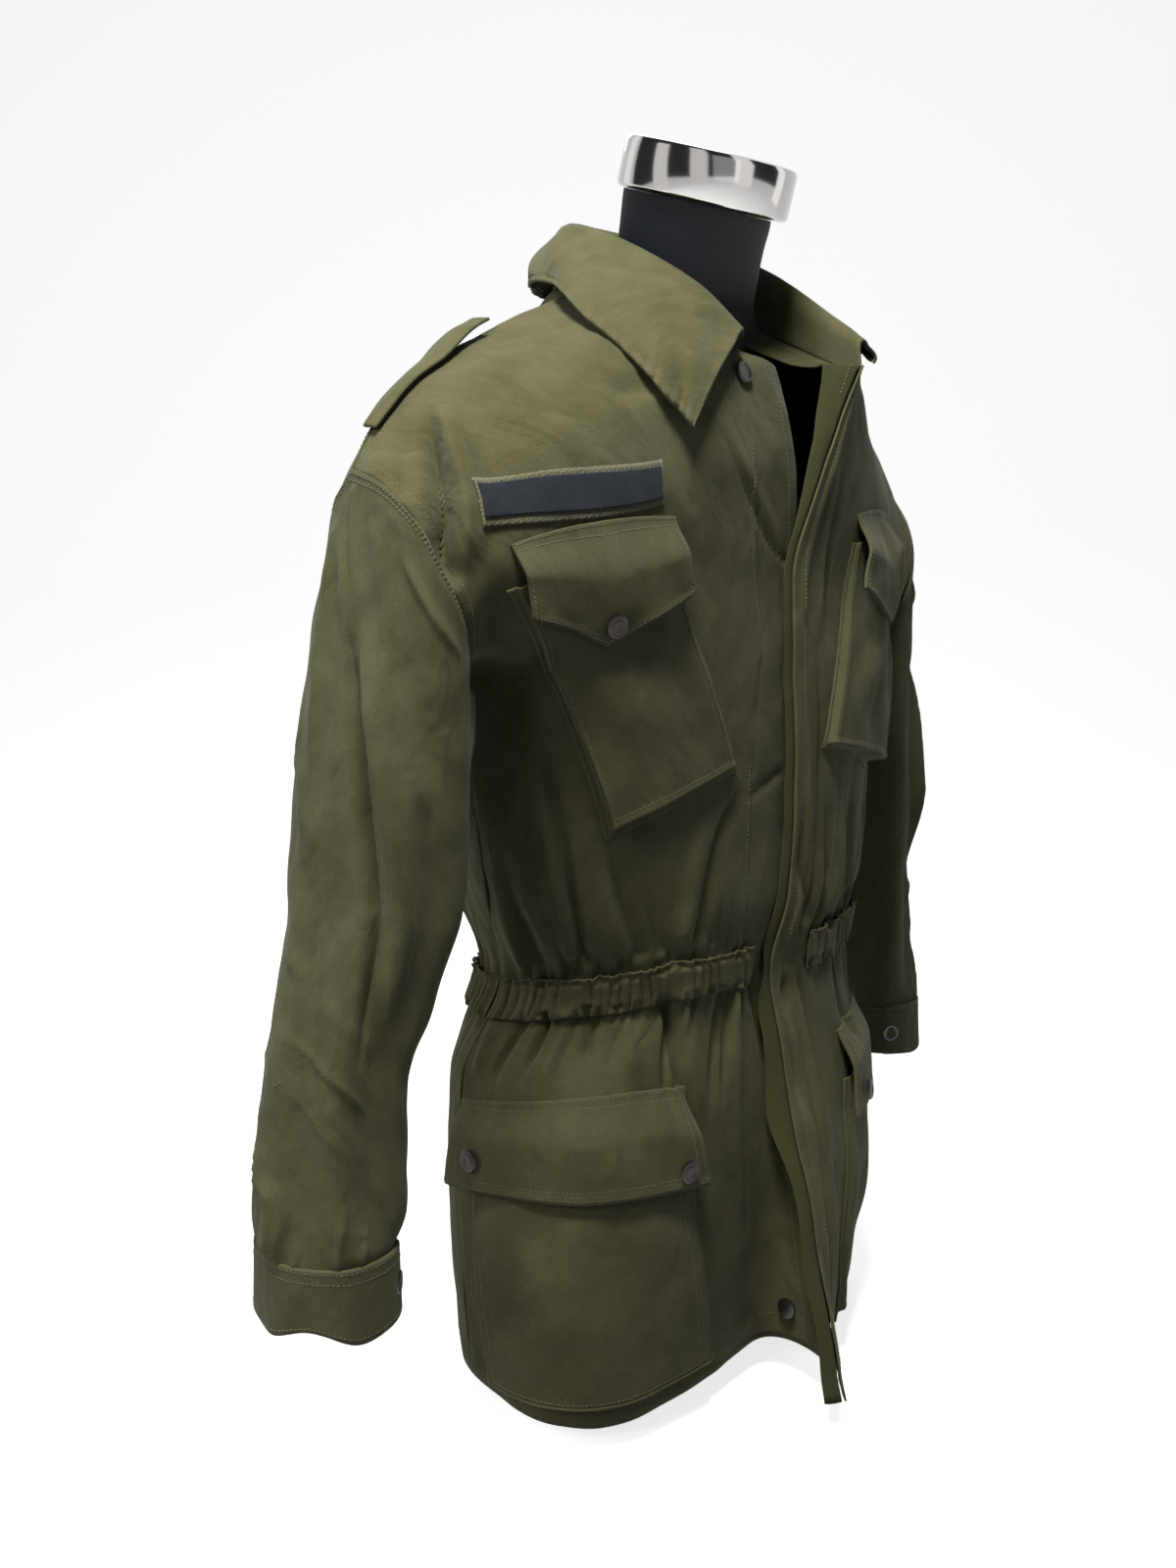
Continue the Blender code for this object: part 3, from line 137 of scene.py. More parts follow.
def foldRelief(points, outward, folds):
    # Sum of height * exp(-(d/width)^2) * fade over the folds, where d is the distance to the fold's
    # line, width is wider on one side by lean, and fade eases to 0 towards both ends.
    flat = points.reshape(-1, 3)
    facing = outward.reshape(-1, 3)
    total = np.zeros(len(flat))
    for line, width, height, lean, fadeLow, fadeHigh in folds:
        reach = 3.2 * width * (1 + abs(lean))
        near = np.all((flat > line.min(axis=0) - reach) & (flat < line.max(axis=0) + reach), axis=1)
        if not near.any():
            continue
        spot = flat[near][:, None]
        start, step = line[:-1][None], np.diff(line, axis=0)[None]
        part = np.clip(((spot - start) * step).sum(-1) / (step * step).sum(-1), 0.0, 1.0)
        away = spot - start - step * part[..., None]
        distance = np.linalg.norm(away, axis=-1)
        best = distance.argmin(axis=1)
        pick = np.arange(len(best))
        share = (best + part[pick, best]) / (len(line) - 1)
        across = np.cross(step[0][best], facing[near])
        side = np.sign((across * away[pick, best]).sum(-1))
        spread = width * (1 + lean * side)
        fade = ease(share / fadeLow) * ease((1 - share) / fadeHigh)
        total[near] += height * np.exp(-(distance[pick, best] / spread) ** 2) * fade
    return total.reshape(points.shape[:-1])


foldStrength = {               # what the heights of a table's folds are multiplied by
    "front": 1.5,
    "back": 1.25,
    "gathers": 1.25,
    "sleeve": 1.35,
}


def foldsFrom(surface, table, strength):
    # Fold lines of a table whose columns are low u, row, middle u, row, high u, row, width, height,
    # lean, low fade and high fade. Widths and heights are in millimetres, and troughs are negative.
    folds = []
    for row in table:
        line = foldLine(surface, ((row[0], row[1]), (row[2], row[3]), (row[4], row[5])))
        folds.append((line, row[6] / 1000, row[7] * strength / 1000, row[8], row[9], row[10]))
    return folds


frontRows = (
    # inner                    pull                      push                      outer
    ((-0.045, -0.094, 0.027), (0.130, -0.112, 0.022), (0.230, -0.108, 0.004), (0.184, 0.034, 0.018)),
    ((-0.028, -0.098, 0.140), (0.118, -0.115, 0.140), (0.234, -0.102, 0.140), (0.188, 0.040, 0.140)),
    ((-0.008, -0.096, 0.230), (0.106, -0.112, 0.230), (0.220, -0.092, 0.230), (0.182, 0.042, 0.230)),
    ((-0.004, -0.088, 0.299), (0.090, -0.110, 0.299), (0.178, -0.085, 0.299), (0.162, 0.022, 0.299)),
    ((-0.008, -0.100, 0.360), (0.100, -0.114, 0.360), (0.202, -0.088, 0.360), (0.187, 0.010, 0.360)),
    ((-0.010, -0.101, 0.450), (0.105, -0.112, 0.450), (0.222, -0.095, 0.450), (0.212, 0.000, 0.450)),
    ((-0.012, -0.100, 0.515), (0.105, -0.110, 0.515), (0.236, -0.100, 0.515), (0.224, 0.000, 0.515)),
    ((-0.012, -0.097, 0.575), (0.100, -0.107, 0.575), (0.232, -0.104, 0.560), (0.262, -0.048, 0.530)),
    ((-0.008, -0.098, 0.645), (0.090, -0.107, 0.642), (0.222, -0.103, 0.615), (0.285, -0.064, 0.565)),
    ((0.000, -0.085, 0.714), (0.080, -0.100, 0.700), (0.220, -0.088, 0.668), (0.300, -0.056, 0.600)),
    ((0.045, -0.084, 0.723), (0.100, -0.076, 0.722), (0.240, -0.052, 0.700), (0.304, -0.035, 0.625)),
    ((0.076, -0.038, 0.744), (0.125, -0.032, 0.742), (0.255, -0.022, 0.710), (0.302, -0.010, 0.638)),
    ((0.090, 0.012, 0.764), (0.145, 0.012, 0.743), (0.262, 0.010, 0.712), (0.295, 0.013, 0.643)),
)
backRows = (
    ((0.000, 0.098, 0.022), (0.080, 0.102, 0.022), (0.164, 0.092, 0.020), (0.184, 0.034, 0.018)),
    ((0.000, 0.104, 0.140), (0.085, 0.108, 0.140), (0.168, 0.098, 0.140), (0.188, 0.040, 0.140)),
    ((0.000, 0.106, 0.230), (0.086, 0.108, 0.230), (0.164, 0.098, 0.230), (0.182, 0.042, 0.230)),
    ((0.000, 0.100, 0.299), (0.078, 0.102, 0.299), (0.148, 0.088, 0.299), (0.162, 0.022, 0.299)),
    ((0.000, 0.110, 0.360), (0.094, 0.112, 0.360), (0.182, 0.086, 0.360), (0.187, 0.010, 0.360)),
    ((0.000, 0.122, 0.450), (0.110, 0.126, 0.450), (0.216, 0.088, 0.450), (0.212, 0.000, 0.450)),
    ((0.000, 0.128, 0.515), (0.118, 0.132, 0.515), (0.232, 0.098, 0.515), (0.224, 0.000, 0.515)),
    ((0.000, 0.130, 0.575), (0.120, 0.133, 0.575), (0.224, 0.112, 0.560), (0.260, 0.036, 0.532)),
    ((0.000, 0.126, 0.630), (0.110, 0.128, 0.630), (0.216, 0.106, 0.610), (0.280, 0.044, 0.567)),
    ((0.000, 0.115, 0.685), (0.100, 0.114, 0.685), (0.212, 0.092, 0.658), (0.292, 0.036, 0.601)),
    ((0.000, 0.098, 0.735), (0.090, 0.092, 0.732), (0.220, 0.066, 0.695), (0.297, 0.026, 0.626)),
)
leftRows = (
    # edge                     pull shift               push shift
    ((-0.046, -0.190, 0.018), (-0.070, 0.020, 0.000), (-0.036, 0.040, 0.000)),
    ((-0.026, -0.146, 0.140), (-0.036, -0.006, 0.000), (-0.022, 0.012, 0.000)),
    ((-0.014, -0.114, 0.230), (-0.010, -0.006, 0.000), (-0.024, 0.006, 0.000)),
    ((-0.014, -0.101, 0.299), (-0.006, -0.004, 0.000), (-0.006, 0.002, 0.000)),
    ((-0.009, -0.112, 0.360), (-0.006, -0.004, 0.000), (-0.014, 0.006, 0.000)),
    ((-0.008, -0.114, 0.450), (-0.006, -0.006, 0.000), (-0.022, 0.010, 0.000)),
    ((-0.010, -0.113, 0.515), (-0.006, -0.006, 0.000), (-0.024, 0.012, 0.000)),
    ((-0.010, -0.110, 0.575), (-0.004, -0.005, 0.000), (-0.020, 0.014, 0.000)),
    ((0.016, -0.118, 0.650), (-0.002, 0.000, 0.000), (-0.014, 0.012, 0.000)),
    ((0.055, -0.121, 0.714), (0.008, 0.012, 0.000), (-0.008, 0.006, 0.000)),
    ((0.072, -0.088, 0.724), (0.012, 0.000, 0.000), (0.000, 0.000, 0.000)),
    ((0.084, -0.038, 0.744), (0.004, 0.000, 0.000), (0.000, 0.000, 0.000)),
    ((0.090, 0.012, 0.764), (0.000, 0.000, 0.000), (0.000, 0.000, 0.000)),
)
body = {
    "topRow": 12.0,              # the shoulder seam
    "backTableTop": 10.0,
    "underarmRow": 6.0,
    "waistRow": 3.0,
    "neckShare": 0.30,           # share of the back's top edge that is neckline
    "shoulderCrown": 0.006,      # how far the back stands out below the shoulder seam
    "neckline": (0.090, 0.066, 0.012, 0.770, 0.764),    # half width, depth, side y, centre z, side z
    "turnOut": ((0.077, -0.068, 0.004), (0.038, -0.026, 0.000), (0.016, -0.005, 0.000),
                (0.000, 0.000, 0.000), (0.000, 0.000, 0.000)),
    "turnOutShare": 0.17,        # of the right front, from its free edge
    "drawInFrom": 0.06,          # x at which the left half starts to hang closer
    "drawInOver": 0.18,
    "drawIn": ((0.02, 0.23, 0.30, 0.36, 0.45, 0.55, 0.65, 0.77),
               (0.016, 0.014, 0.002, 0.010, 0.028, 0.048, 0.060, 0.060)),
}


def frontTable(side):
    # The front's rows, with the left front's own edge and its moved handles.
    table = np.array(frontRows)
    if side == left:
        moved = np.array(leftRows)
        table[:, 0] = moved[:, 0]
        table[:, 1:3] += moved[:, 1:3]
    return table


frontTables = {right: frontTable(right), left: frontTable(left)}


def drawIn(points):
    # The left half hangs closer to the body: x less by a height's share of a smooth step in x.
    far = ease((points[..., 0] - body["drawInFrom"]) / body["drawInOver"])
    points[..., 0] -= far * np.interp(points[..., 2], *body["drawIn"])
    return points


waistTilt = {                  # u and the shift there, in rows
    "front": ((0.0, 0.15, 0.45, 0.75, 1.0), (0.06, 0.13, 0.22, 0.05, -0.17)),
    "back": ((0.0, 0.6, 1.0), (-0.24, -0.22, -0.17)),
    "rows": 0.75,
}


def tilted(u, row, part):
    # The row and shift(u) * exp(-((row - waist) / rows)^2): the waist is higher at the front.
    shift = np.interp(np.abs(u), *waistTilt[part])
    return row + shift * np.exp(-((row - body["waistRow"]) / waistTilt["rows"]) ** 2)


def frontBase(u, row, side):
    # Smooth front: the row's Bezier curve at u, its free edge turned out by (1 - u/share)^2.
    u, row = np.clip(u, 0.0, 1.0), np.clip(row, 0.0, body["topRow"])
    points = bezier(along(frontTables[side], tilted(u, row, "front")), u)
    if side == right:
        edge = np.clip(1.0 - u / body["turnOutShare"], 0.0, 1.0) ** 2
        points += along(body["turnOut"], np.minimum(row, len(body["turnOut"]) - 1.0)) * edge[..., None]
    points[..., 0] *= side
    return drawIn(points)


def backTop(u):
    # Top edge of half the back: a quarter ellipse for the neckline, then the front's top row.
    half, depth, sideY, centreZ, sideZ = body["neckline"]
    turn = np.clip(u / body["neckShare"], 0.0, 1.0) * math.pi / 2
    neck = np.stack([half * np.sin(turn), sideY + depth * np.cos(turn),
                     sideZ + (centreZ - sideZ) * np.cos(turn)], axis=-1)
    seam = bezier(np.broadcast_to(np.array(frontRows[-1]), u.shape + (4, 3)),
                  np.clip((u - body["neckShare"]) / (1.0 - body["neckShare"]), 0.0, 1.0))
    return np.where((u < body["neckShare"])[..., None], neck, seam)


def backBase(u, row):
    # Smooth back: the row's Bezier curve at |u|, blended into the top edge above the table.
    u, row = np.clip(u, -1.0, 1.0), np.clip(row, 0.0, body["topRow"])
    half = np.abs(u)
    tableTop = body["backTableTop"]
    points = bezier(along(np.array(backRows), np.minimum(tilted(u, row, "back"), tableTop)), half)
    rise = np.clip((row - tableTop) / (body["topRow"] - tableTop), 0.0, 1.0)[..., None]
    points = points * (1 - rise) + backTop(half) * rise
    crown = body["shoulderCrown"] * np.sin(math.pi * rise[..., 0])
    crown = crown * ease(half / 0.2) * ease((1 - half) / 0.3)
    points[..., 1] += crown
    points[..., 2] += 0.6 * crown
    points[..., 0] *= np.sign(u)
    return drawIn(points)


def surfaceNormals(base, u, row, uRange, rowRange):
    # Cross product of the steps across and up, from places just inside the surface's edges.
    step = 0.004
    u, row = np.clip(u, *uRange), np.clip(row, *rowRange)
    across = base(u + step, row) - base(u - step, row)
    up = base(u, row + 4 * step) - base(u, row - 4 * step)
    return unit(np.cross(across, up))


gathers = {
    "count": 19,               # on each front
    "backCount": 34,
    "width": (2.0, 4.2),       # millimetres
    "depth": (1.6, 4.2),
    "reachUp": (0.30, 1.30),   # in rows
    "reachDown": (0.25, 1.05),
    "casingHalf": 0.20,        # rows from the waist to the casing's edge
    "start": 0.13,             # u at which the fronts start to be gathered
    "seeds": {right: 5, left: 8, "back": 11},
}


def gatherTable(count, start, end, seed):
    # Troughs that run up and down from the casing, unevenly spaced, long and deep.
    draw = np.random.default_rng(seed)
    spots = start + (end - start) * (np.arange(count) + draw.uniform(0.1, 0.9, count)) / count
    table = []
    for spot in spots:
        for way, reach in ((1, gathers["reachUp"]), (-1, gathers["reachDown"])):
            length = draw.uniform(*reach)
            drift = draw.uniform(-0.25, 0.25) * (end - start) / count * length
            low = body["waistRow"] + way * gathers["casingHalf"] * 0.5
            table.append((spot, low, spot + drift * 0.4, low + way * length * 0.5, spot + drift,
                          low + way * length, draw.uniform(*gathers["width"]),
                          -draw.uniform(*gathers["depth"]), draw.uniform(-0.3, 0.3), 0.20, 0.9))
    return table


# The creases placed one by one. A wide ridge beside a narrow trough makes a fold that hangs over.
rightFolds = (
    # low u, row   middle u, row  high u, row   width height lean fades
    (0.995, 8.2, 0.930, 9.45, 0.790, 11.1, 7.0, -9.0, -0.30, 0.15, 0.35),
    (0.990, 8.4, 0.918, 9.60, 0.800, 11.0, 2.4, -3.2, 0.50, 0.20, 0.30),
    (0.960, 8.3, 0.885, 9.55, 0.762, 11.1, 3.0, 2.4, 0.00, 0.25, 0.25),
    (0.950, 8.2, 0.870, 9.50, 0.730, 11.2, 8.0, 3.4, 0.10, 0.25, 0.25),
    (0.995, 9.8, 0.935, 10.45, 0.838, 11.5, 8.0, -3.4, 0.20, 0.30, 0.30),
    (0.970, 5.9, 0.930, 7.0, 0.890, 8.2, 12.0, -3.5, 0.20, 0.30, 0.30),
    (0.738, 3.40, 0.745, 4.38, 0.817, 6.05, 3.4, -3.8, 0.45, 0.05, 0.40),
    (0.768, 3.40, 0.775, 4.40, 0.850, 6.00, 7.0, 2.6, 0.00, 0.10, 0.50),
    (0.722, 3.35, 0.729, 4.10, 0.742, 4.80, 2.8, -3.0, 0.20, 0.05, 0.60),
    (0.554, 3.35, 0.579, 4.08, 0.610, 4.70, 5.5, -3.2, 0.30, 0.05, 0.60),
    (0.590, 3.35, 0.612, 4.00, 0.650, 4.70, 6.0, 2.0, 0.00, 0.15, 0.60),
    (0.371, 3.40, 0.292, 4.42, 0.180, 4.84, 6.5, -3.6, 0.35, 0.10, 0.35),
    (0.420, 3.40, 0.360, 4.30, 0.300, 4.80, 8.0, 2.4, 0.00, 0.15, 0.50),
    (0.190, 4.75, 0.120, 4.82, 0.040, 4.90, 2.6, -1.8, 0.00, 0.30, 0.20),
    (0.879, 3.30, 0.900, 3.83, 0.958, 4.80, 7.0, -3.8, 0.20, 0.10, 0.50),
    (0.930, 3.30, 0.950, 3.90, 0.985, 4.60, 6.0, 2.4, 0.00, 0.15, 0.50),
    (0.875, 4.20, 0.821, 5.03, 0.779, 6.40, 9.0, 2.6, 0.20, 0.40, 0.40),
    (0.480, 3.35, 0.490, 3.80, 0.500, 4.40, 4.0, -2.2, 0.00, 0.10, 0.60),
    (0.300, 3.35, 0.290, 3.70, 0.270, 4.10, 4.0, -2.0, 0.00, 0.10, 0.60),
    (0.030, 7.10, 0.160, 7.60, 0.300, 8.60, 1.7, -1.5, 0.40, 0.08, 0.30),
    (0.050, 7.30, 0.180, 7.90, 0.320, 8.80, 5.0, 1.2, 0.00, 0.30, 0.40),
    (0.020, 0.16, 0.500, 0.16, 0.980, 0.16, 1.0, -0.6, 0.00, 0.02, 0.02),
    (0.250, 9.60, 0.420, 9.40, 0.600, 9.70, 9.0, -1.6, 0.20, 0.40, 0.40),
    (0.330, 1.60, 0.430, 2.45, 0.520, 2.86, 3.6, -6.0, 0.40, 0.30, 0.25),
    (0.290, 1.60, 0.375, 2.45, 0.470, 2.86, 8.0, 3.0, 0.00, 0.30, 0.25),
    (0.500, 2.05, 0.580, 2.55, 0.640, 2.86, 6.0, 2.6, 0.00, 0.30, 0.20),
    (0.625, 2.08, 0.704, 2.62, 0.729, 2.92, 2.8, -3.2, 0.20, 0.40, 0.05),
    (0.760, 2.10, 0.775, 2.50, 0.790, 2.90, 4.0, 1.8, 0.00, 0.40, 0.10),
    (0.842, 2.10, 0.829, 2.58, 0.846, 2.88, 3.0, -4.0, -0.20, 0.40, 0.05),
    (0.908, 2.08, 0.912, 2.43, 0.890, 2.85, 3.0, -3.8, 0.00, 0.40, 0.05),
    (0.395, 1.75, 0.440, 2.30, 0.470, 2.84, 3.0, -3.2, 0.30, 0.35, 0.08),
    (0.240, 1.75, 0.228, 2.30, 0.212, 2.84, 2.8, -3.0, 0.00, 0.35, 0.08),
    (0.960, 2.10, 0.968, 2.40, 0.975, 2.80, 4.5, 2.4, 0.00, 0.40, 0.10),
    (0.292, 1.60, 0.267, 2.38, 0.258, 2.85, 4.5, -3.8, 0.20, 0.40, 0.10),
    (0.180, 1.10, 0.190, 2.10, 0.200, 2.85, 6.0, 3.0, 0.00, 0.40, 0.10),
    (0.030, 1.50, 0.070, 2.25, 0.125, 2.90, 4.5, -4.2, 0.20, 0.40, 0.10),
    # the placket's inner seam
    (0.176, 3.30, 0.172, 4.60, 0.140, 6.10, 1.3, -0.9, 0.00, 0.02, 0.02),
    (0.140, 6.00, 0.138, 7.00, 0.180, 8.30, 1.3, -0.9, 0.00, 0.02, 0.10),
    (0.170, 0.10, 0.180, 1.50, 0.178, 2.75, 1.3, -0.9, 0.00, 0.02, 0.02),
)
leftFolds = (
    (0.980, 7.6, 0.900, 9.2, 0.800, 11.4, 9.0, -6.0, -0.25, 0.20, 0.30),
    (0.850, 3.4, 0.800, 4.9, 0.760, 6.2, 9.0, -3.8, 0.20, 0.10, 0.40),
    (0.020, 0.30, 0.050, 1.50, 0.030, 2.70, 3.0, 2.2, 0.30, 0.20, 0.20),
    (0.060, 0.20, 0.085, 1.30, 0.060, 2.80, 2.6, -2.6, 0.30, 0.20, 0.20),
    (0.110, 0.90, 0.130, 1.90, 0.105, 2.85, 3.0, -2.4, -0.30, 0.20, 0.10),
    (0.030, 3.20, 0.055, 4.40, 0.035, 5.60, 3.0, 2.0, 0.20, 0.10, 0.30),
    (0.075, 3.20, 0.100, 4.60, 0.070, 6.40, 2.6, -2.2, 0.30, 0.10, 0.30),
    (0.020, 6.30, 0.045, 7.60, 0.030, 9.20, 3.0, 1.6, 0.20, 0.20, 0.30),
    (0.158, 3.35, 0.163, 3.95, 0.125, 4.70, 3.6, -3.4, 0.30, 0.05, 0.50),
    (0.110, 3.35, 0.050, 4.03, 0.025, 4.70, 4.0, -3.2, 0.20, 0.10, 0.40),
    (0.210, 3.35, 0.215, 4.00, 0.190, 4.90, 6.0, 2.6, 0.00, 0.10, 0.50),
    (0.360, 3.30, 0.295, 4.05, 0.283, 4.85, 4.6, -3.4, 0.30, 0.05, 0.50),
    (0.460, 3.35, 0.440, 3.90, 0.430, 4.60, 5.0, -2.8, 0.00, 0.05, 0.50),
    (0.600, 3.35, 0.560, 4.3, 0.520, 5.2, 7.0, 2.6, 0.00, 0.10, 0.50),
    (0.700, 3.35, 0.690, 4.0, 0.670, 4.8, 4.0, -3.0, 0.00, 0.05, 0.60),
    (0.070, 6.10, 0.113, 7.33, 0.030, 8.20, 6.0, 2.8, 0.00, 0.40, 0.30),
    (0.160, 5.6, 0.130, 7.0, 0.110, 8.6, 9.0, -2.0, 0.00, 0.40, 0.40),
    (0.075, 1.40, 0.040, 2.05, 0.060, 2.85, 5.0, -3.2, 0.20, 0.30, 0.10),
    (0.346, 1.80, 0.300, 2.30, 0.330, 2.90, 4.0, -3.2, 0.20, 0.30, 0.05),
    (0.520, 2.10, 0.530, 2.50, 0.560, 2.90, 4.0, -3.0, 0.00, 0.40, 0.05),
    (0.700, 2.10, 0.710, 2.50, 0.720, 2.90, 5.0, 2.4, 0.00, 0.40, 0.05),
    (0.140, 0.10, 0.120, 1.20, 0.100, 2.30, 9.0, 2.0, 0.00, 0.30, 0.40),
)
backFolds = (
    (-0.880, 3.6, -0.780, 5.4, -0.700, 7.6, 13.0, -4.6, 0.20, 0.30, 0.40),
    (-0.620, 3.5, -0.560, 4.8, -0.520, 6.2, 12.0, 3.4, 0.00, 0.30, 0.50),
    (0.860, 3.6, 0.780, 5.2, 0.690, 7.2, 13.0, -4.2, -0.20, 0.30, 0.40),
    (0.540, 3.5, 0.500, 4.6, 0.440, 5.8, 12.0, 3.0, 0.00, 0.30, 0.50),
    (-0.180, 3.5, -0.150, 5.2, -0.080, 7.0, 14.0, -3.2, 0.10, 0.30, 0.50),
    (0.170, 3.4, 0.200, 4.6, 0.250, 5.6, 12.0, -2.8, 0.00, 0.30, 0.50),
    (-0.960, 7.0, -0.860, 8.6, -0.780, 10.4, 11.0, -4.6, 0.20, 0.20, 0.40),
    (0.960, 7.0, 0.870, 8.4, 0.800, 10.0, 11.0, -4.2, -0.20, 0.20, 0.40),
    (-0.360, 0.10, -0.340, 1.20, -0.360, 2.40, 14.0, -3.0, 0.00, 0.25, 0.40),
    (0.300, 0.10, 0.330, 1.10, 0.310, 2.20, 14.0, -2.6, 0.00, 0.25, 0.40),
)


rumples = {
    "waves": 11,
    "length": (0.022, 0.085),    # metres from crest to crest
    "height": 0.01045,           # of a wave, as a share of its length
    "upright": 0.55,             # how much they run across the body rather than along it
    "bend": 0.010,
    "bendTurns": 61.0,           # radians a metre
    "seeds": {"front": 21, "back": 33, "sleeve": 41},
}


def rumple(points, seed):
    # Sum of waves h * sin(2 pi d.p / l + phase) in drawn directions d, mostly across the body,
    # over places bent by slower sines; each crest is sharpened by the square of its sine.
    draw = np.random.default_rng(int(seed))
    bent = points + rumples["bend"] * np.sin(points[..., [1, 2, 0]] * rumples["bendTurns"] + seed)
    total = np.zeros(points.shape[:-1])
    for _ in range(rumples["waves"]):
        direction = draw.normal(size=3) * (1.0, 1.0, rumples["upright"])
        length = draw.uniform(*rumples["length"])
        wave = np.sin(2 * math.pi * (bent @ unit(direction)) / length + draw.uniform(0, 6.28))
        total += rumples["height"] * length * (0.6 * wave - 0.4 * wave * wave) * draw.uniform(0.3, 1.0)
    return total


def makeFrontSurface(side):
    # Function (u, row, lift) -> points: the smooth front plus normal * (folds + lift).
    def base(u, row):
        return frontBase(u, row, side)

    table = rightFolds if side == right else leftFolds
    folds = foldsFrom(base, table, foldStrength["front"])
    gathered = gatherTable(gathers["count"], gathers["start"], 0.98, gathers["seeds"][side])
    folds += foldsFrom(base, gathered, foldStrength["gathers"])

    def surface(u, row, lift=0.0):
        points = base(u, row)
        normals = surfaceNormals(base, u, row, (0.006, 0.994), (0.03, body["topRow"] - 0.03)) * side
        relief = foldRelief(points, normals, folds) + rumple(points, rumples["seeds"]["front"] + side)
        return points + normals * (relief + lift)[..., None]
    return surface


def makeBackSurface():
    # Function (u, row, lift) -> points: the smooth back plus normal * (folds + lift).
    folds = foldsFrom(backBase, backFolds, foldStrength["back"])
    gathered = gatherTable(gathers["backCount"], -0.98, 0.98, gathers["seeds"]["back"])
    folds += foldsFrom(backBase, gathered, foldStrength["gathers"])

    def surface(u, row, lift=0.0):
        points = backBase(u, row)
        normals = -surfaceNormals(backBase, u, row, (-0.99, 0.99), (0.03, body["topRow"] - 0.03))
        relief = foldRelief(points, normals, folds) + rumple(points, rumples["seeds"]["back"])
        return points + normals * (relief + lift)[..., None]
    return surface


frontSurface = {right: makeFrontSurface(right), left: makeFrontSurface(left)}
backSurface = makeBackSurface()
print("surfaces ready")


def gridUv(points):
    # Lengths in metres along each row and each column of a grid, the cloth's own coordinates.
    across = np.linalg.norm(np.diff(points, axis=1), axis=-1)
    up = np.linalg.norm(np.diff(points, axis=0), axis=-1)
    across = np.concatenate([np.zeros((len(points), 1)), np.cumsum(across, axis=1)], axis=1)
    up = np.concatenate([np.zeros((1, points.shape[1])), np.cumsum(up, axis=0)], axis=0)
    across -= across[:, -1:] / 2
    return np.stack([across, up], axis=-1)


def gridMesh(name, points, closed=False, wearAndHighlight=None):
    # Quads between the points of a grid of rows and columns, joined round where closed.
    rows, columns = points.shape[:2]
    index = np.arange(rows * columns).reshape(rows, columns)
    uvPoints = points
    if closed:
        index = np.concatenate([index, index[:, :1]], axis=1)
        uvPoints = np.concatenate([points, points[:, :1]], axis=1)
    uv = gridUv(uvPoints).reshape(-1, 2)
    uvIndex = np.arange(len(uv)).reshape(uvPoints.shape[:2])

    def corners(table):
        around = (table[:-1, :-1], table[:-1, 1:], table[1:, 1:], table[1:, :-1])
        return np.stack(around, axis=-1).reshape(-1, 4)
    faces = corners(index)
    mesh = bpy.data.meshes.new(name)
    mesh.vertices.add(rows * columns)
    mesh.vertices.foreach_set("co", points.reshape(-1))
    mesh.loops.add(faces.size)
    mesh.loops.foreach_set("vertex_index", faces.reshape(-1))
    mesh.polygons.add(len(faces))
    mesh.polygons.foreach_set("loop_start", np.arange(0, faces.size, 4))
    mesh.update(calc_edges=True)
    layer = mesh.uv_layers.new(name="cloth")
    layer.data.foreach_set("uv", uv[corners(uvIndex).reshape(-1)].reshape(-1))
    # how much lighter the cloth is at each point: edge wear and a painted edge highlight
    attribute = mesh.attributes.new("edgeWearAndHighlight", "FLOAT", "POINT")
    values = np.broadcast_to(0.0 if wearAndHighlight is None else wearAndHighlight, (rows, columns)).reshape(-1)
    attribute.data.foreach_set("value", values.astype(float))
    mesh.shade_smooth()
    return mesh


def place(name, mesh, finish, slot, nodes=()):
    # Puts a mesh in the scene as a piece that rides on the one body, in place of its nodes.
    item = bpy.data.objects.new(name, mesh)
    collection.objects.link(item)
    mesh.materials.append(finish)
    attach(item, "root")
    if nodes:
        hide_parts(*nodes)
    return item


def cloth(name, points, finish, wall, nodes, closed=False, wearAndHighlight=None,
          slot="olive_twill"):
    # A shell through a grid of points, its wall grown inwards, its cut size printed.
    item = place(name, gridMesh(name, points, closed, wearAndHighlight), finish, slot, nodes)
    solid = item.modifiers.new("wall", "SOLIDIFY")
    solid.thickness = wall
    solid.offset = -1.0
    steps = gridUv(points)
    print(name, "measures", round(float(np.ptp(steps[..., 0], axis=1).mean()), 3), "by",
          round(float(steps[-1, :, 1].mean()), 3))
    return item


def flipFor(side, points):
    # Turns the columns of the right side round, so that the faces of both sides point outwards.
    return points if side == left else points[:, ::-1]


def lines(low, high, count):
    return np.linspace(low, high, max(int(count / pitch), 4))


def grid(columns, rows):
    # Two arrays, u and row, over a grid with a line for each given value.
    return np.meshgrid(np.asarray(columns, dtype=float), np.asarray(rows, dtype=float))


looks = {
    "olive": (0.0440, 0.0430, 0.0145),
    # the lighter olive that random fading, edge wear and painted edge highlights mix towards
    "oliveFadedAndLit": (0.094, 0.090, 0.044),
    "oliveInside": (0.040, 0.0385, 0.0150),
    "loopTape": (0.085, 0.082, 0.042),
    "navy": (0.017, 0.020, 0.024),
    "thread": (0.135, 0.128, 0.085),
    "gunmetal": (0.038, 0.034, 0.030),
    "button": (0.012, 0.010, 0.008),
    "form": (0.0045, 0.0055, 0.0080),
    "chrome": (0.50, 0.49, 0.48),
    "floor": (0.92, 0.92, 0.92),
}


def newMaterial(name):
    # An empty material with its Principled shader.
    made = bpy.data.materials.new(name)
    made.use_nodes = True
    return made, made.node_tree, made.node_tree.nodes["Principled BSDF"]


def addNode(tree, kind, **values):
    # A node with its properties and the values of its named sockets.
    node = tree.nodes.new(kind)
    for key, value in values.items():
        if key in node.inputs:
            node.inputs[key].default_value = value
        else:
            setattr(node, key, value)
    return node


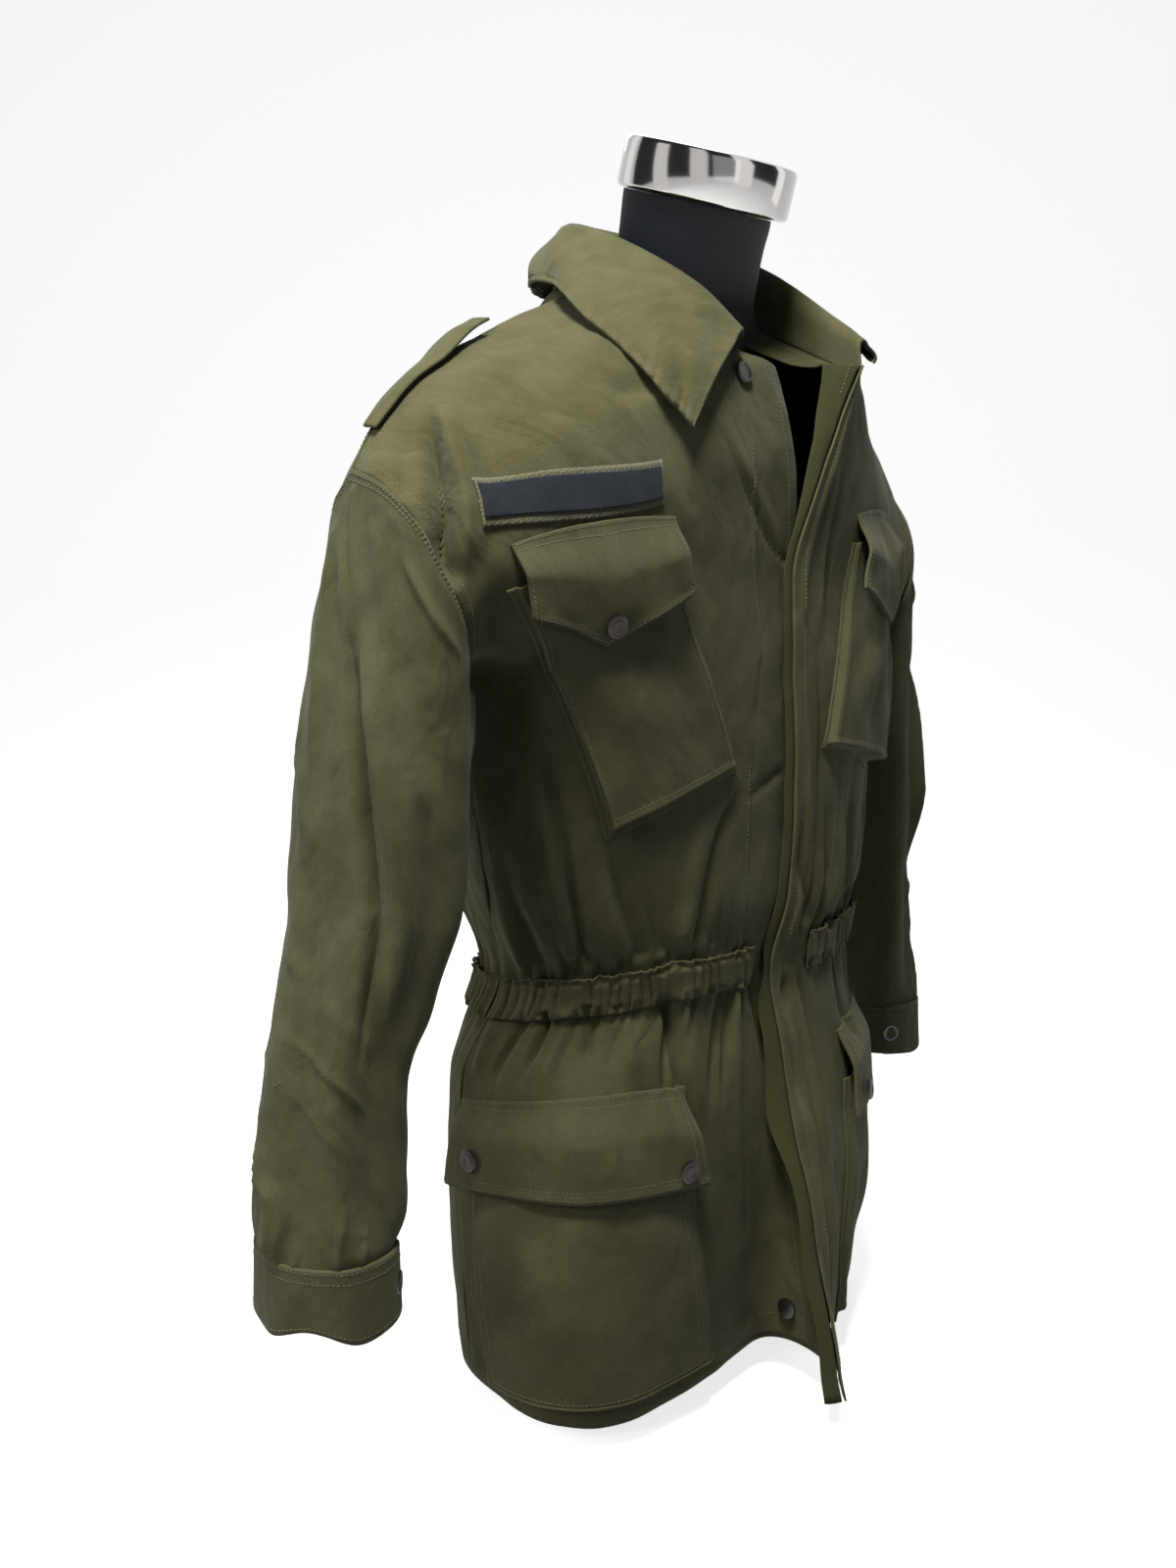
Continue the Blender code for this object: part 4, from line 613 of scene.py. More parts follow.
def makeTwillGroup():
    # Node group: diagonal ribs of a twill, and slubs, from coordinates in metres.
    tree = bpy.data.node_groups.new("twillWeave", "ShaderNodeTree")
    tree.interface.new_socket("Coordinates", in_out="INPUT", socket_type="NodeSocketVector")
    for name, value in (("Ribs per metre", 900.0), ("Slub", 0.35)):
        socket = tree.interface.new_socket(name, in_out="INPUT", socket_type="NodeSocketFloat")
        socket.default_value = value
    tree.interface.new_socket("Height", in_out="OUTPUT", socket_type="NodeSocketFloat")
    links = tree.links
    start = tree.nodes.new("NodeGroupInput")
    end = tree.nodes.new("NodeGroupOutput")
    turn = addNode(tree, "ShaderNodeMapping", Rotation=(0.0, 0.0, math.radians(63.0)))
    links.new(start.outputs["Coordinates"], turn.inputs["Vector"])
    parts = addNode(tree, "ShaderNodeSeparateXYZ")
    links.new(turn.outputs["Vector"], parts.inputs[0])
    wobble = addNode(tree, "ShaderNodeTexNoise", Scale=260.0, Detail=2.0)
    links.new(start.outputs["Coordinates"], wobble.inputs["Vector"])
    scaled = addNode(tree, "ShaderNodeMath", operation="MULTIPLY")
    links.new(parts.outputs["X"], scaled.inputs[0])
    links.new(start.outputs["Ribs per metre"], scaled.inputs[1])
    shifted = addNode(tree, "ShaderNodeMath", operation="MULTIPLY_ADD")
    links.new(wobble.outputs["Fac"], shifted.inputs[0])
    shifted.inputs[1].default_value = 1.2
    links.new(scaled.outputs[0], shifted.inputs[2])
    turns = addNode(tree, "ShaderNodeMath", operation="MULTIPLY")
    links.new(shifted.outputs[0], turns.inputs[0])
    turns.inputs[1].default_value = 2 * math.pi
    wave = addNode(tree, "ShaderNodeMath", operation="SINE")
    links.new(turns.outputs[0], wave.inputs[0])
    slub = addNode(tree, "ShaderNodeTexNoise", Scale=900.0, Detail=3.0)
    links.new(start.outputs["Coordinates"], slub.inputs["Vector"])
    joined = addNode(tree, "ShaderNodeMath", operation="MULTIPLY_ADD")
    links.new(slub.outputs["Fac"], joined.inputs[0])
    links.new(start.outputs["Slub"], joined.inputs[1])
    half = addNode(tree, "ShaderNodeMath", operation="MULTIPLY_ADD")
    links.new(wave.outputs[0], half.inputs[0])
    half.inputs[1].default_value = 0.25
    half.inputs[2].default_value = 0.5
    links.new(half.outputs[0], joined.inputs[2])
    links.new(joined.outputs[0], end.inputs["Height"])
    return tree


def makeWashAndHighlightGroup():
    # Node group: a dyed colour made uneven by washing, lighter where the cloth is worn and where an edge
    # highlight is painted.
    tree = bpy.data.node_groups.new("washedDyeAndEdgeHighlight", "ShaderNodeTree")
    tree.interface.new_socket("Coordinates", in_out="INPUT", socket_type="NodeSocketVector")
    for name in ("Dye", "Faded and lit"):
        tree.interface.new_socket(name, in_out="INPUT", socket_type="NodeSocketColor")
    for name, value in (("Wear and highlight", 0.0), ("Mottle", 0.5)):
        socket = tree.interface.new_socket(name, in_out="INPUT", socket_type="NodeSocketFloat")
        socket.default_value = value
    tree.interface.new_socket("Color", in_out="OUTPUT", socket_type="NodeSocketColor")
    links = tree.links
    start = tree.nodes.new("NodeGroupInput")
    end = tree.nodes.new("NodeGroupOutput")
    broad = addNode(tree, "ShaderNodeTexNoise", Scale=24.0, Detail=8.0, Roughness=0.70, Distortion=0.5)
    fine = addNode(tree, "ShaderNodeTexNoise", Scale=640.0, Detail=3.0, Roughness=0.8)
    for texture in (broad, fine):
        links.new(start.outputs["Coordinates"], texture.inputs["Vector"])
    spread = addNode(tree, "ShaderNodeMapRange")
    spread.inputs["From Min"].default_value = 0.3
    spread.inputs["From Max"].default_value = 0.7
    links.new(broad.outputs["Fac"], spread.inputs["Value"])
    grain = addNode(tree, "ShaderNodeMapRange")
    grain.inputs["From Min"].default_value = 0.25
    grain.inputs["From Max"].default_value = 0.75
    links.new(fine.outputs["Fac"], grain.inputs["Value"])
    mixed = addNode(tree, "ShaderNodeMath", operation="MULTIPLY_ADD")
    links.new(grain.outputs[0], mixed.inputs[0])
    mixed.inputs[1].default_value = 0.95
    links.new(spread.outputs[0], mixed.inputs[2])
    mottle = addNode(tree, "ShaderNodeMath", operation="MULTIPLY")
    links.new(mixed.outputs[0], mottle.inputs[0])
    links.new(start.outputs["Mottle"], mottle.inputs[1])
    patchy = addNode(tree, "ShaderNodeMath", operation="MULTIPLY")
    links.new(start.outputs["Wear and highlight"], patchy.inputs[0])
    links.new(grain.outputs[0], patchy.inputs[1])
    edgeWearAndHighlight = addNode(tree, "ShaderNodeMath", operation="ADD", use_clamp=True)
    links.new(mottle.outputs[0], edgeWearAndHighlight.inputs[0])
    links.new(patchy.outputs[0], edgeWearAndHighlight.inputs[1])
    mix = addNode(tree, "ShaderNodeMix", data_type="RGBA")
    links.new(edgeWearAndHighlight.outputs[0], mix.inputs["Factor"])
    links.new(start.outputs["Dye"], mix.inputs[6])
    links.new(start.outputs["Faded and lit"], mix.inputs[7])
    links.new(mix.outputs[2], end.inputs["Color"])
    return tree


def makeCrinkleGroup():
    # Node group: soft rumples, drawn out along the length of the cloth.
    tree = bpy.data.node_groups.new("washedRumples", "ShaderNodeTree")
    tree.interface.new_socket("Coordinates", in_out="INPUT", socket_type="NodeSocketVector")
    socket = tree.interface.new_socket("Scale", in_out="INPUT", socket_type="NodeSocketFloat")
    socket.default_value = 30.0
    tree.interface.new_socket("Height", in_out="OUTPUT", socket_type="NodeSocketFloat")
    links = tree.links
    start = tree.nodes.new("NodeGroupInput")
    end = tree.nodes.new("NodeGroupOutput")
    stretched = addNode(tree, "ShaderNodeMapping", Scale=(1.0, 0.45, 1.0), Rotation=(0.0, 0.0, 0.3))
    links.new(start.outputs["Coordinates"], stretched.inputs["Vector"])
    soft = addNode(tree, "ShaderNodeTexNoise", Detail=3.0, Roughness=0.5, Distortion=0.4)
    links.new(stretched.outputs["Vector"], soft.inputs["Vector"])
    links.new(start.outputs["Scale"], soft.inputs["Scale"])
    links.new(soft.outputs["Fac"], end.inputs["Height"])
    return tree


twillGroup = makeTwillGroup()
washAndHighlightGroup = makeWashAndHighlightGroup()
crinkleGroup = makeCrinkleGroup()


def makeClothMaterial(name, dye, fadedAndLit, mottle=0.75, ribs=900.0, bump=0.45, roughness=0.86, sheen=0.07,
                      rumpled=0.85):
    # Twill: washed dye with worn and painted-highlight edges for the colour, the ribs' height as bump, a soft
    # sheen at grazing angles.
    made, tree, shader = newMaterial(name)
    uv = addNode(tree, "ShaderNodeUVMap", uv_map="cloth")
    edgeWearAndHighlight = addNode(tree, "ShaderNodeAttribute", attribute_name="edgeWearAndHighlight")
    dyeAndHighlightNode = addNode(tree, "ShaderNodeGroup", node_tree=washAndHighlightGroup)
    dyeAndHighlightNode.inputs["Dye"].default_value = (*dye, 1.0)
    dyeAndHighlightNode.inputs["Faded and lit"].default_value = (*fadedAndLit, 1.0)
    dyeAndHighlightNode.inputs["Mottle"].default_value = mottle
    tree.links.new(uv.outputs["UV"], dyeAndHighlightNode.inputs["Coordinates"])
    tree.links.new(edgeWearAndHighlight.outputs["Fac"], dyeAndHighlightNode.inputs["Wear and highlight"])
    weave = addNode(tree, "ShaderNodeGroup", node_tree=twillGroup)
    weave.inputs["Ribs per metre"].default_value = ribs
    tree.links.new(uv.outputs["UV"], weave.inputs["Coordinates"])
    crinkle = addNode(tree, "ShaderNodeGroup", node_tree=crinkleGroup)
    crinkle.inputs["Scale"].default_value = 42.0
    tree.links.new(uv.outputs["UV"], crinkle.inputs["Coordinates"])
    rumple = addNode(tree, "ShaderNodeBump", Strength=rumpled, Distance=0.004)
    tree.links.new(crinkle.outputs["Height"], rumple.inputs["Height"])
    relief = addNode(tree, "ShaderNodeBump", Strength=bump, Distance=0.0004)
    tree.links.new(rumple.outputs["Normal"], relief.inputs["Normal"])
    tree.links.new(weave.outputs["Height"], relief.inputs["Height"])
    tree.links.new(relief.outputs["Normal"], shader.inputs["Normal"])
    tree.links.new(dyeAndHighlightNode.outputs["Color"], shader.inputs["Base Color"])
    shader.inputs["Roughness"].default_value = roughness
    shader.inputs["Sheen Weight"].default_value = sheen
    shader.inputs["Sheen Roughness"].default_value = 0.5
    shader.inputs["Specular IOR Level"].default_value = 0.18
    return made


def makePlainMaterial(name, colour, roughness, metallic=0.0, coat=0.0):
    # One colour with its roughness and metallic values.
    made, _, shader = newMaterial(name)
    shader.inputs["Base Color"].default_value = (*colour, 1.0)
    shader.inputs["Roughness"].default_value = roughness
    shader.inputs["Metallic"].default_value = metallic
    shader.inputs["Coat Weight"].default_value = coat
    return made


olive = makeClothMaterial("oliveTwill", looks["olive"], looks["oliveFadedAndLit"])
oliveInside = makeClothMaterial("oliveTwillInside", looks["oliveInside"],
                                tuple(1.3 * c for c in looks["oliveInside"]))
loopTape = makeClothMaterial("loopTape", looks["loopTape"], tuple(1.5 * c for c in looks["loopTape"]),
                             ribs=420.0, bump=0.9, roughness=0.95, sheen=0.5)
navy = makeClothMaterial("navyTape", looks["navy"], tuple(1.4 * c for c in looks["navy"]), ribs=600.0)
thread = makePlainMaterial("oliveThread", looks["thread"], 0.7)
gunmetal = makePlainMaterial("agedGunmetal", looks["gunmetal"], 0.50, 0.8)
buttonBrown = makePlainMaterial("darkButton", looks["button"], 0.35)
formBlack = makePlainMaterial("formCover", looks["form"], 0.80)
chrome = makePlainMaterial("brightCap", looks["chrome"], 0.12, 1.0)
print("materials ready")


sewing = {
    "pitch": 0.0031,             # from stitch to stitch
    "length": 0.0024,
    "width": 0.00075,
    "height": 0.00045,
    "sink": 0.00010,
}
stitchStore = {}


def stitchLine(piece, surface, path, lift, steps=400):
    # Keeps a stitch every pitch along a line on a surface: its centre, direction and normal.
    part = np.linspace(0.0, 1.0, steps)
    knots = np.array(path, dtype=float)
    spans = np.linspace(0.0, 1.0, len(knots))
    u, row = np.interp(part, spans, knots[:, 0]), np.interp(part, spans, knots[:, 1])
    keepLine(piece, surface(u, row, np.full(steps, lift)), surface(u, row, np.full(steps, lift + 0.002)))


def keepLine(piece, line, above):
    # Stitches at equal lengths along a line, standing up towards the line above it.
    length = np.concatenate([[0.0], np.cumsum(np.linalg.norm(np.diff(line, axis=0), axis=1))])
    count = max(int(length[-1] / sewing["pitch"]), 1)
    spots = (np.arange(count) + 0.5) * length[-1] / count

    def at(values, where):
        return np.stack([np.interp(where, length, values[:, axis]) for axis in range(3)], axis=-1)
    centre = at(line, spots)
    step = at(line, spots + 0.4 * sewing["length"]) - at(line, spots - 0.4 * sewing["length"])
    normal = unit(at(above, spots) - centre)
    stitchStore.setdefault(piece, []).append((centre, unit(step), normal))


def makeStitches(piece, finish):
    # Each stitch is a spindle of two square rings and two tips, set along its own direction.
    centre, direction, normal = (np.concatenate(part) for part in zip(*stitchStore[piece]))
    across = unit(np.cross(normal, direction))
    ends = sewing["length"] / 2
    ring = [(0.55 * way * ends, a * sewing["width"] / 2, b * sewing["height"])
            for way in (-1, 1) for a, b in ((1, 0), (0, 1), (-1, 0), (0, -1))]
    shape = np.array([(-ends, 0.0, -0.2 * sewing["height"]), *ring, (ends, 0.0, -0.2 * sewing["height"])])
    normal = unit(np.cross(direction, across))
    points = (centre[:, None] + direction[:, None] * shape[None, :, :1]
              + across[:, None] * shape[None, :, 1:2]
              + normal[:, None] * (shape[None, :, 2:] - sewing["sink"]))
    faces = [(0, 1 + (k + 1) % 4, 1 + k) for k in range(4)]
    faces += [(1 + k, 1 + (k + 1) % 4, 5 + (k + 1) % 4) for k in range(4)]
    faces += [(1 + k, 5 + (k + 1) % 4, 5 + k) for k in range(4)]
    faces += [(9, 5 + k, 5 + (k + 1) % 4) for k in range(4)]
    index = np.array(faces)[None] + 10 * np.arange(len(centre))[:, None, None]
    mesh = bpy.data.meshes.new(piece)
    mesh.vertices.add(points.shape[0] * 10)
    mesh.vertices.foreach_set("co", points.reshape(-1))
    mesh.loops.add(index.size)
    mesh.loops.foreach_set("vertex_index", index.reshape(-1))
    mesh.polygons.add(index.size // 3)
    mesh.polygons.foreach_set("loop_start", np.arange(0, index.size, 3))
    mesh.update(calc_edges=True)
    mesh.shade_smooth()
    place(piece, mesh, finish, "olive_twill")
    print(piece, len(centre), "stitches")


panel = {
    "wall": 0.0014,
    "columns": 130,
    "rows": 232,
    "backColumns": 220,
    "backLines": 192,
    "flatFront": (0.330, 0.800),
    "areaFront": 0.215,
    "flatBack": (0.600, 0.770),
    "areaBack": 0.380,
    "hemWearAndHighlight": (0.6, 0.03),      # how much lighter an edge is, as wear and a painted highlight, and over how many rows or how much u
    "freeEdgeWearAndHighlight": (0.5, 0.006),
    "frontSeams": (
        # places along a row of stitches, and how many steps follow the cloth between them
        (((0.035, 0.1), (0.035, 9.0)), 1600),         # the free edge
        (((0.01, 0.16), (0.99, 0.16)), 1200),         # the hem
        (((0.04, 11.83), (0.97, 11.83)), 1200),       # the shoulder, twice
        (((0.04, 11.63), (0.97, 11.63)), 1200),
        (((0.975, 6.3), (0.975, 11.9)), 1200),        # the armhole
        (((0.183, 8.3), (0.183, 7.65), (0.133, 6.25), (0.154, 5.60), (0.179, 4.70), (0.183, 4.12),
          (0.175, 3.48)), 1200),                      # the placket's inner edge
    ),
}


def edgeWearAndHighlight(distance, wearAndHighlight):
    # strength * exp(-distance / width): lighter close to an edge, as wear and a painted edge highlight.
    strength, width = wearAndHighlight
    return strength * np.exp(-distance / width)


def makeFronts():
    # Each front is its surface from the free edge to the side and from the hem to the shoulder.
    for side in (right, left):
        u, row = grid(lines(0.0, 1.0, panel["columns"]), lines(0.0, body["topRow"], panel["rows"]))
        word = words[side]
        # the hem and the free edge are painted lighter: wear and a painted edge highlight
        cloth("frontPanel_" + word, flipFor(side, frontSurface[side](u, row)), olive, panel["wall"],
              ["front_" + word, "front_skirt_" + word],
              wearAndHighlight=flipFor(side, edgeWearAndHighlight(row, panel["hemWearAndHighlight"]) + edgeWearAndHighlight(u, panel["freeEdgeWearAndHighlight"])))
        for path, steps in panel["frontSeams"]:
            stitchLine("frontSeams_" + word, frontSurface[side], path, 0.0, steps)


def makeBack():
    # The back is one surface from side to side, stitched along the hem and below each shoulder.
    u, row = grid(lines(-1.0, 1.0, panel["backColumns"]), lines(0.0, body["topRow"], panel["backLines"]))
    # the hem is painted lighter: wear and a painted edge highlight
    cloth("backPanel", backSurface(u, row)[:, ::-1], olive, panel["wall"], ["back", "back_skirt"],
          wearAndHighlight=edgeWearAndHighlight(row, panel["hemWearAndHighlight"])[:, ::-1])
    stitchLine("backSeams", backSurface, ((-0.99, 0.16), (0.99, 0.16)), 0.0, 2400)
    for side in (right, left):
        stitchLine("backSeams", backSurface, ((side * 0.32, 11.8), (side * 0.98, 11.8)), 0.0, 1200)


makeFronts()
makeBack()
print("panels made")


casing = {
    "rows": (-0.218, 0.246),     # below and above the waist
    "lift": 0.0030,
    "pucker": 0.0050,
    "sharpness": 0.38,           # the power of |sin|: the lower, the narrower the valleys
    "ruffle": 0.0010,
    "ruffleFrom": 0.88,          # share of the height
    "sewnAt": 0.86,
    "sewn": 0.45,                # how much the row of stitches holds the puckers down
    "drift": 0.010,              # how far a pucker leans, as a share of the casing's length
    "flatTo": 0.12,              # u up to which a front's casing has no puckers
    "flatOver": 0.10,
    "gathersFront": 24,
    "gathersBack": 40,
    "columnsFront": 300,
    "columnsBack": 480,
    "lines": 22,
    "seeds": {"front": 3, "back": 4},
    "wall": 0.0012,
    "flatFront": (0.290, 0.032),
    "flatBack": (0.540, 0.032),
}


def uneven(share, seed, strength=0.3):
    # A share bent by three slow sines, so that what repeats along it is unevenly spaced.
    draw = np.random.default_rng(seed)
    bent = share.copy()
    for count in (2, 3, 5):
        turns = 2 * math.pi * (count * share + draw.uniform())
        bent += strength / (2 * math.pi * count) * np.sin(turns)
    return bent


def casingPoints(surface, start, end, count, columns, seed):
    # A band of uneven upright puckers, |sin|^sharpness with narrow valleys and their own heights, held
    # down along its row of stitches, its upper edge beyond that a ruffle that leans out.
    share = lines(0.0, 1.0, columns)
    up = lines(0.0, 1.0, casing["lines"])
    low, high = casing["rows"]
    u, row = grid(start + (end - start) * share, body["waistRow"] + low + (high - low) * up)
    s, t = grid(share, up)
    drift = casing["drift"] * (np.sin(2.2 * t + 23.0 * s) + 0.4 * np.sin(5.0 * t + 61.0 * s)) * (t - 0.5)
    phase = uneven(s + drift, seed)
    wave = np.abs(np.sin(math.pi * count * phase)) ** casing["sharpness"]
    draw = np.random.default_rng(seed)
    heights = draw.uniform(0.35, 1.0, count + 3)
    tall = np.interp(phase * count, np.arange(count + 3) - 1.0, heights)
    held = 1.0 - casing["sewn"] * np.exp(-((t - casing["sewnAt"]) / 0.05) ** 2)
    held -= 0.4 * np.exp(-(t / 0.05) ** 2)
    ruffle = ease((t - casing["ruffleFrom"]) / (1.0 - casing["ruffleFrom"])) * (0.3 + 0.7 * wave)
    gathered = ease((np.abs(u) - casing["flatTo"]) / casing["flatOver"])
    puckers = casing["pucker"] * tall * (wave - 0.35) * held * gathered
    return surface(u, row, casing["lift"] + (puckers + casing["ruffle"] * ruffle) * hump(s, 0.02))


def makeCasings():
    # One casing on each front, from where it is gathered to the side, and one across the back.
    for side in (right, left):
        word = words[side]
        points = casingPoints(frontSurface[side], gathers["start"], 0.998, casing["gathersFront"],
                              casing["columnsFront"], casing["seeds"]["front"])
        cloth("waistCasing_" + word, flipFor(side, points), olive, casing["wall"], ["waist_casing_" + word])
    points = casingPoints(backSurface, -0.998, 0.998, casing["gathersBack"], casing["columnsBack"],
                          casing["seeds"]["back"])
    cloth("waistCasing_back", points[:, ::-1], olive, casing["wall"], ["waist_casing_back"])


makeCasings()
print("casings made")


fly = {
    "wall": 0.0014,
    "inward": 0.13,              # share of the front that it covers
    "inside": 0.0030,            # how far it lies behind the front
    "top": 11.9,
    # rows, and how far the free edge reaches beyond the front's
    "beyond": ((0.0, 1.5, 2.6, 3.0, 7.4, 8.2, 9.0, 10.0, 11.0, 11.9),
               (0.010, 0.012, 0.009, 0.006, 0.004, 0.012, 0.026, 0.034, 0.040, 0.034)),
    "crumple": 0.0020,
    "crumpleBelow": 3.6,         # row
    "way": (-1.0, 0.30, 0.0),    # the direction in which it reaches beyond
    "seams": (-0.30, 0.10),
    "buttonhole": ((11.42, 11.50), (-0.80, -0.38)),
    "flat": (0.075, 0.800),
}


def flySurface(across, row, lift=0.0):
    # Across from -1, its free edge beyond the front's, to 0 at that edge and 1 inside the front.
    depth = np.full(across.shape, -fly["inside"]) + lift
    points = frontSurface[left](np.clip(across, 0.0, 1.0) * fly["inward"], row, depth)
    out = np.clip(-across, 0.0, 1.0)
    crumple = fly["crumple"] * (np.sin(3.1 * row + 2.0) + 0.6 * np.sin(6.7 * row + 3.0 * across)
                                + 0.2 * np.sin(13.0 * row)) * ease((fly["crumpleBelow"] - row) / 0.8)
    beyond = (np.interp(row, *fly["beyond"]) + 0.6 * crumple) * out
    points += unit(np.array(fly["way"])) * beyond[..., None]
    points[..., 1] += 0.25 * beyond * out + crumple * out
    return points


def makeFly():
    # The buttonhole band inside the left front's edge, and above it the facing that turns out.
    across, row = grid(lines(-1.0, 1.0, 40), lines(0.0, fly["top"], 260))
    cloth("flyBand", flySurface(across, row), oliveInside, fly["wall"], ["fly_band"],
          slot="olive_twill_inside")
    for spot in fly["seams"]:
        stitchLine("flySeams", flySurface, ((spot, 8.6), (spot, 11.8)), 0.0003, 700)
    levels, (outer, inner) = fly["buttonhole"]
    for level in levels:
        stitchLine("flySeams", flySurface, ((outer, level), (inner, level)), 0.0003, 300)


makeFly()


sleeve = {
    "rings": (
        # z      x      y       across along   turn, in degrees
        (0.184, 0.341, 0.002, 0.0395, 0.0460, 8.0),
        (0.205, 0.338, 0.002, 0.0395, 0.0475, 10.0),
        (0.240, 0.334, 0.002, 0.0365, 0.0455, 12.0),
        (0.285, 0.329, 0.001, 0.0355, 0.0450, 14.0),
        (0.330, 0.314, 0.000, 0.0385, 0.0520, 14.0),
        (0.390, 0.297, -0.002, 0.0420, 0.0590, 12.0),
        (0.450, 0.290, 0.000, 0.0440, 0.0640, 10.0),
        (0.500, 0.284, 0.002, 0.0450, 0.0670, 8.0),
        (0.540, 0.279, 0.003, 0.0450, 0.0680, 6.0),
    ),
    # heights, and how far in the left sleeve hangs there
    "leftIn": ((0.18, 0.40, 0.50, 0.62), (0.034, 0.034, 0.040, 0.054)),
    "leftBack": 0.008,
    "blend": (0.0, 0.30, 0.66, 0.90),    # from the armhole's shape to the rings'
    "hangFrom": 0.565,
    "hangShare": 0.9,
    "underarmClear": 0.018,
    "sway": (0.0040, 0.0030),
    "seams": (0.006, 0.016),             # below the armhole
    "elbowPatch": ((0.480, 0.58), (0.496, 0.60), (0.504, 0.66), (0.546, 0.75)),
    "wall": 0.0014,
    "flat": (0.380, 0.460),
    "area": 0.130,
    "columns": 132,
    "rows": 176,
}
cuff = {
    "top": 0.1862,
    "bottom": 0.1425,
    "across": 0.0406,
    "along": 0.0471,
    "flare": 0.0015,
    "dent": 0.0018,
    "edgeWave": 0.0038,
    "lap": 0.0020,               # the buttoned end lies over the other
    "lapTurn": 0.70,             # radians round the cuff
    "lapWidth": 1.50,
    "columns": 180,
    "lines": 22,
    "seams": (0.06, 0.20, 0.93),
    "wall": 0.0022,
    "flat": (0.280, 0.042),
}
sleeveFolds = (
    # low turn, v      middle turn, v  high turn, v      width height lean fades
    (0.478, 0.14, 0.400, 0.37, 0.262, 0.66, 7.0, 8.0, 0.40, 0.25, 0.30),
    (0.430, 0.16, 0.348, 0.36, 0.222, 0.62, 9.0, -8.0, 0.30, 0.30, 0.30),
    (0.478, 0.14, 0.400, 0.37, 0.262, 0.66, 1.9, 1.5, 0.00, 0.15, 0.20),
    (0.466, 0.14, 0.386, 0.37, 0.246, 0.66, 2.0, -1.7, 0.40, 0.15, 0.20),
    (0.530, 0.20, 0.480, 0.44, 0.360, 0.70, 2.0, -1.6, 0.40, 0.15, 0.25),
    (0.542, 0.20, 0.493, 0.44, 0.376, 0.70, 2.4, 1.3, 0.00, 0.15, 0.25),
    (0.485, 0.02, 0.463, 0.10, 0.436, 0.20, 3.0, -2.6, 0.30, 0.10, 0.40),
    (0.515, 0.08, 0.467, 0.20, 0.440, 0.34, 4.0, -3.6, 0.30, 0.30, 0.50),
    (0.560, 0.05, 0.545, 0.20, 0.530, 0.42, 7.0, -3.6, 0.00, 0.20, 0.40),
    (0.590, 0.20, 0.556, 0.33, 0.537, 0.46, 5.0, -2.6, 0.20, 0.30, 0.40),
    (0.540, 0.40, 0.520, 0.50, 0.500, 0.60, 4.0, -2.4, 0.20, 0.30, 0.40),
    (0.340, 0.07, 0.280, 0.13, 0.180, 0.15, 2.6, -2.0, 0.30, 0.30, 0.30),
    (0.400, 0.14, 0.330, 0.28, 0.230, 0.36, 3.0, -1.8, 0.30, 0.30, 0.30),
    (0.370, 0.16, 0.300, 0.26, 0.200, 0.32, 9.0, 1.8, 0.00, 0.30, 0.30),
    (0.400, 0.05, 0.380, 0.14, 0.362, 0.24, 5.0, -2.4, 0.00, 0.20, 0.40),
    (0.530, 0.590, 0.385, 0.630, 0.160, 0.730, 1.7, -1.2, 0.45, 0.15, 0.30),
    (0.520, 0.620, 0.360, 0.665, 0.180, 0.760, 6.0, 0.6, 0.00, 0.25, 0.30),
    (0.530, 0.660, 0.400, 0.700, 0.240, 0.800, 1.8, -0.6, 0.35, 0.15, 0.30),
    (0.500, 0.540, 0.340, 0.570, 0.180, 0.640, 5.0, -0.6, 0.20, 0.25, 0.40),
    (0.540, 0.74, 0.508, 0.85, 0.500, 0.99, 6.0, -3.4, 0.20, 0.30, 0.10),
    (0.463, 0.995, 0.463, 0.92, 0.440, 0.80, 2.2, -2.0, 0.30, 0.05, 0.50),
    (0.425, 0.995, 0.420, 0.94, 0.410, 0.88, 2.0, -1.2, 0.00, 0.05, 0.50),
    (0.321, 0.995, 0.321, 0.88, 0.295, 0.74, 2.2, -2.2, 0.30, 0.05, 0.50),
    (0.270, 0.995, 0.270, 0.92, 0.255, 0.84, 2.2, -1.5, 0.00, 0.05, 0.50),
    (0.620, 0.66, 0.640, 0.44, 0.660, 0.16, 10.0, -3.5, 0.20, 0.40, 0.40),
    (0.720, 0.64, 0.720, 0.42, 0.740, 0.18, 9.0, 3.0, -0.20, 0.40, 0.40),
    (0.840, 0.62, 0.820, 0.40, 0.800, 0.16, 10.0, -3.2, -0.20, 0.40, 0.40),
    (0.560, 0.62, 0.680, 0.64, 0.820, 0.61, 4.0, -3.4, 0.20, 0.30, 0.30),
    (0.580, 0.68, 0.700, 0.70, 0.800, 0.67, 5.0, -2.6, -0.20, 0.30, 0.30),
    (0.700, 0.995, 0.700, 0.90, 0.690, 0.80, 4.0, -3.4, 0.00, 0.05, 0.50),
    (0.790, 0.995, 0.790, 0.92, 0.780, 0.84, 3.6, -3.0, 0.00, 0.05, 0.50),
    (0.100, 0.30, 0.090, 0.20, 0.080, 0.10, 7.0, -3.0, 0.00, 0.30, 0.30),
)


def armhole(side, turn, share=1.0):
    # The panels' outer edge at the row that a turn round it reaches, front first, then back.
    frontHalf = turn <= math.pi
    rise = np.where(frontHalf, turn, 2 * math.pi - turn) / math.pi
    row = body["underarmRow"] + (body["topRow"] - body["underarmRow"]) * rise
    front = frontBase(np.full_like(turn, share), row, side)
    behind = backBase(np.full_like(turn, side * share), row)
    return np.where(frontHalf[..., None], front, behind)


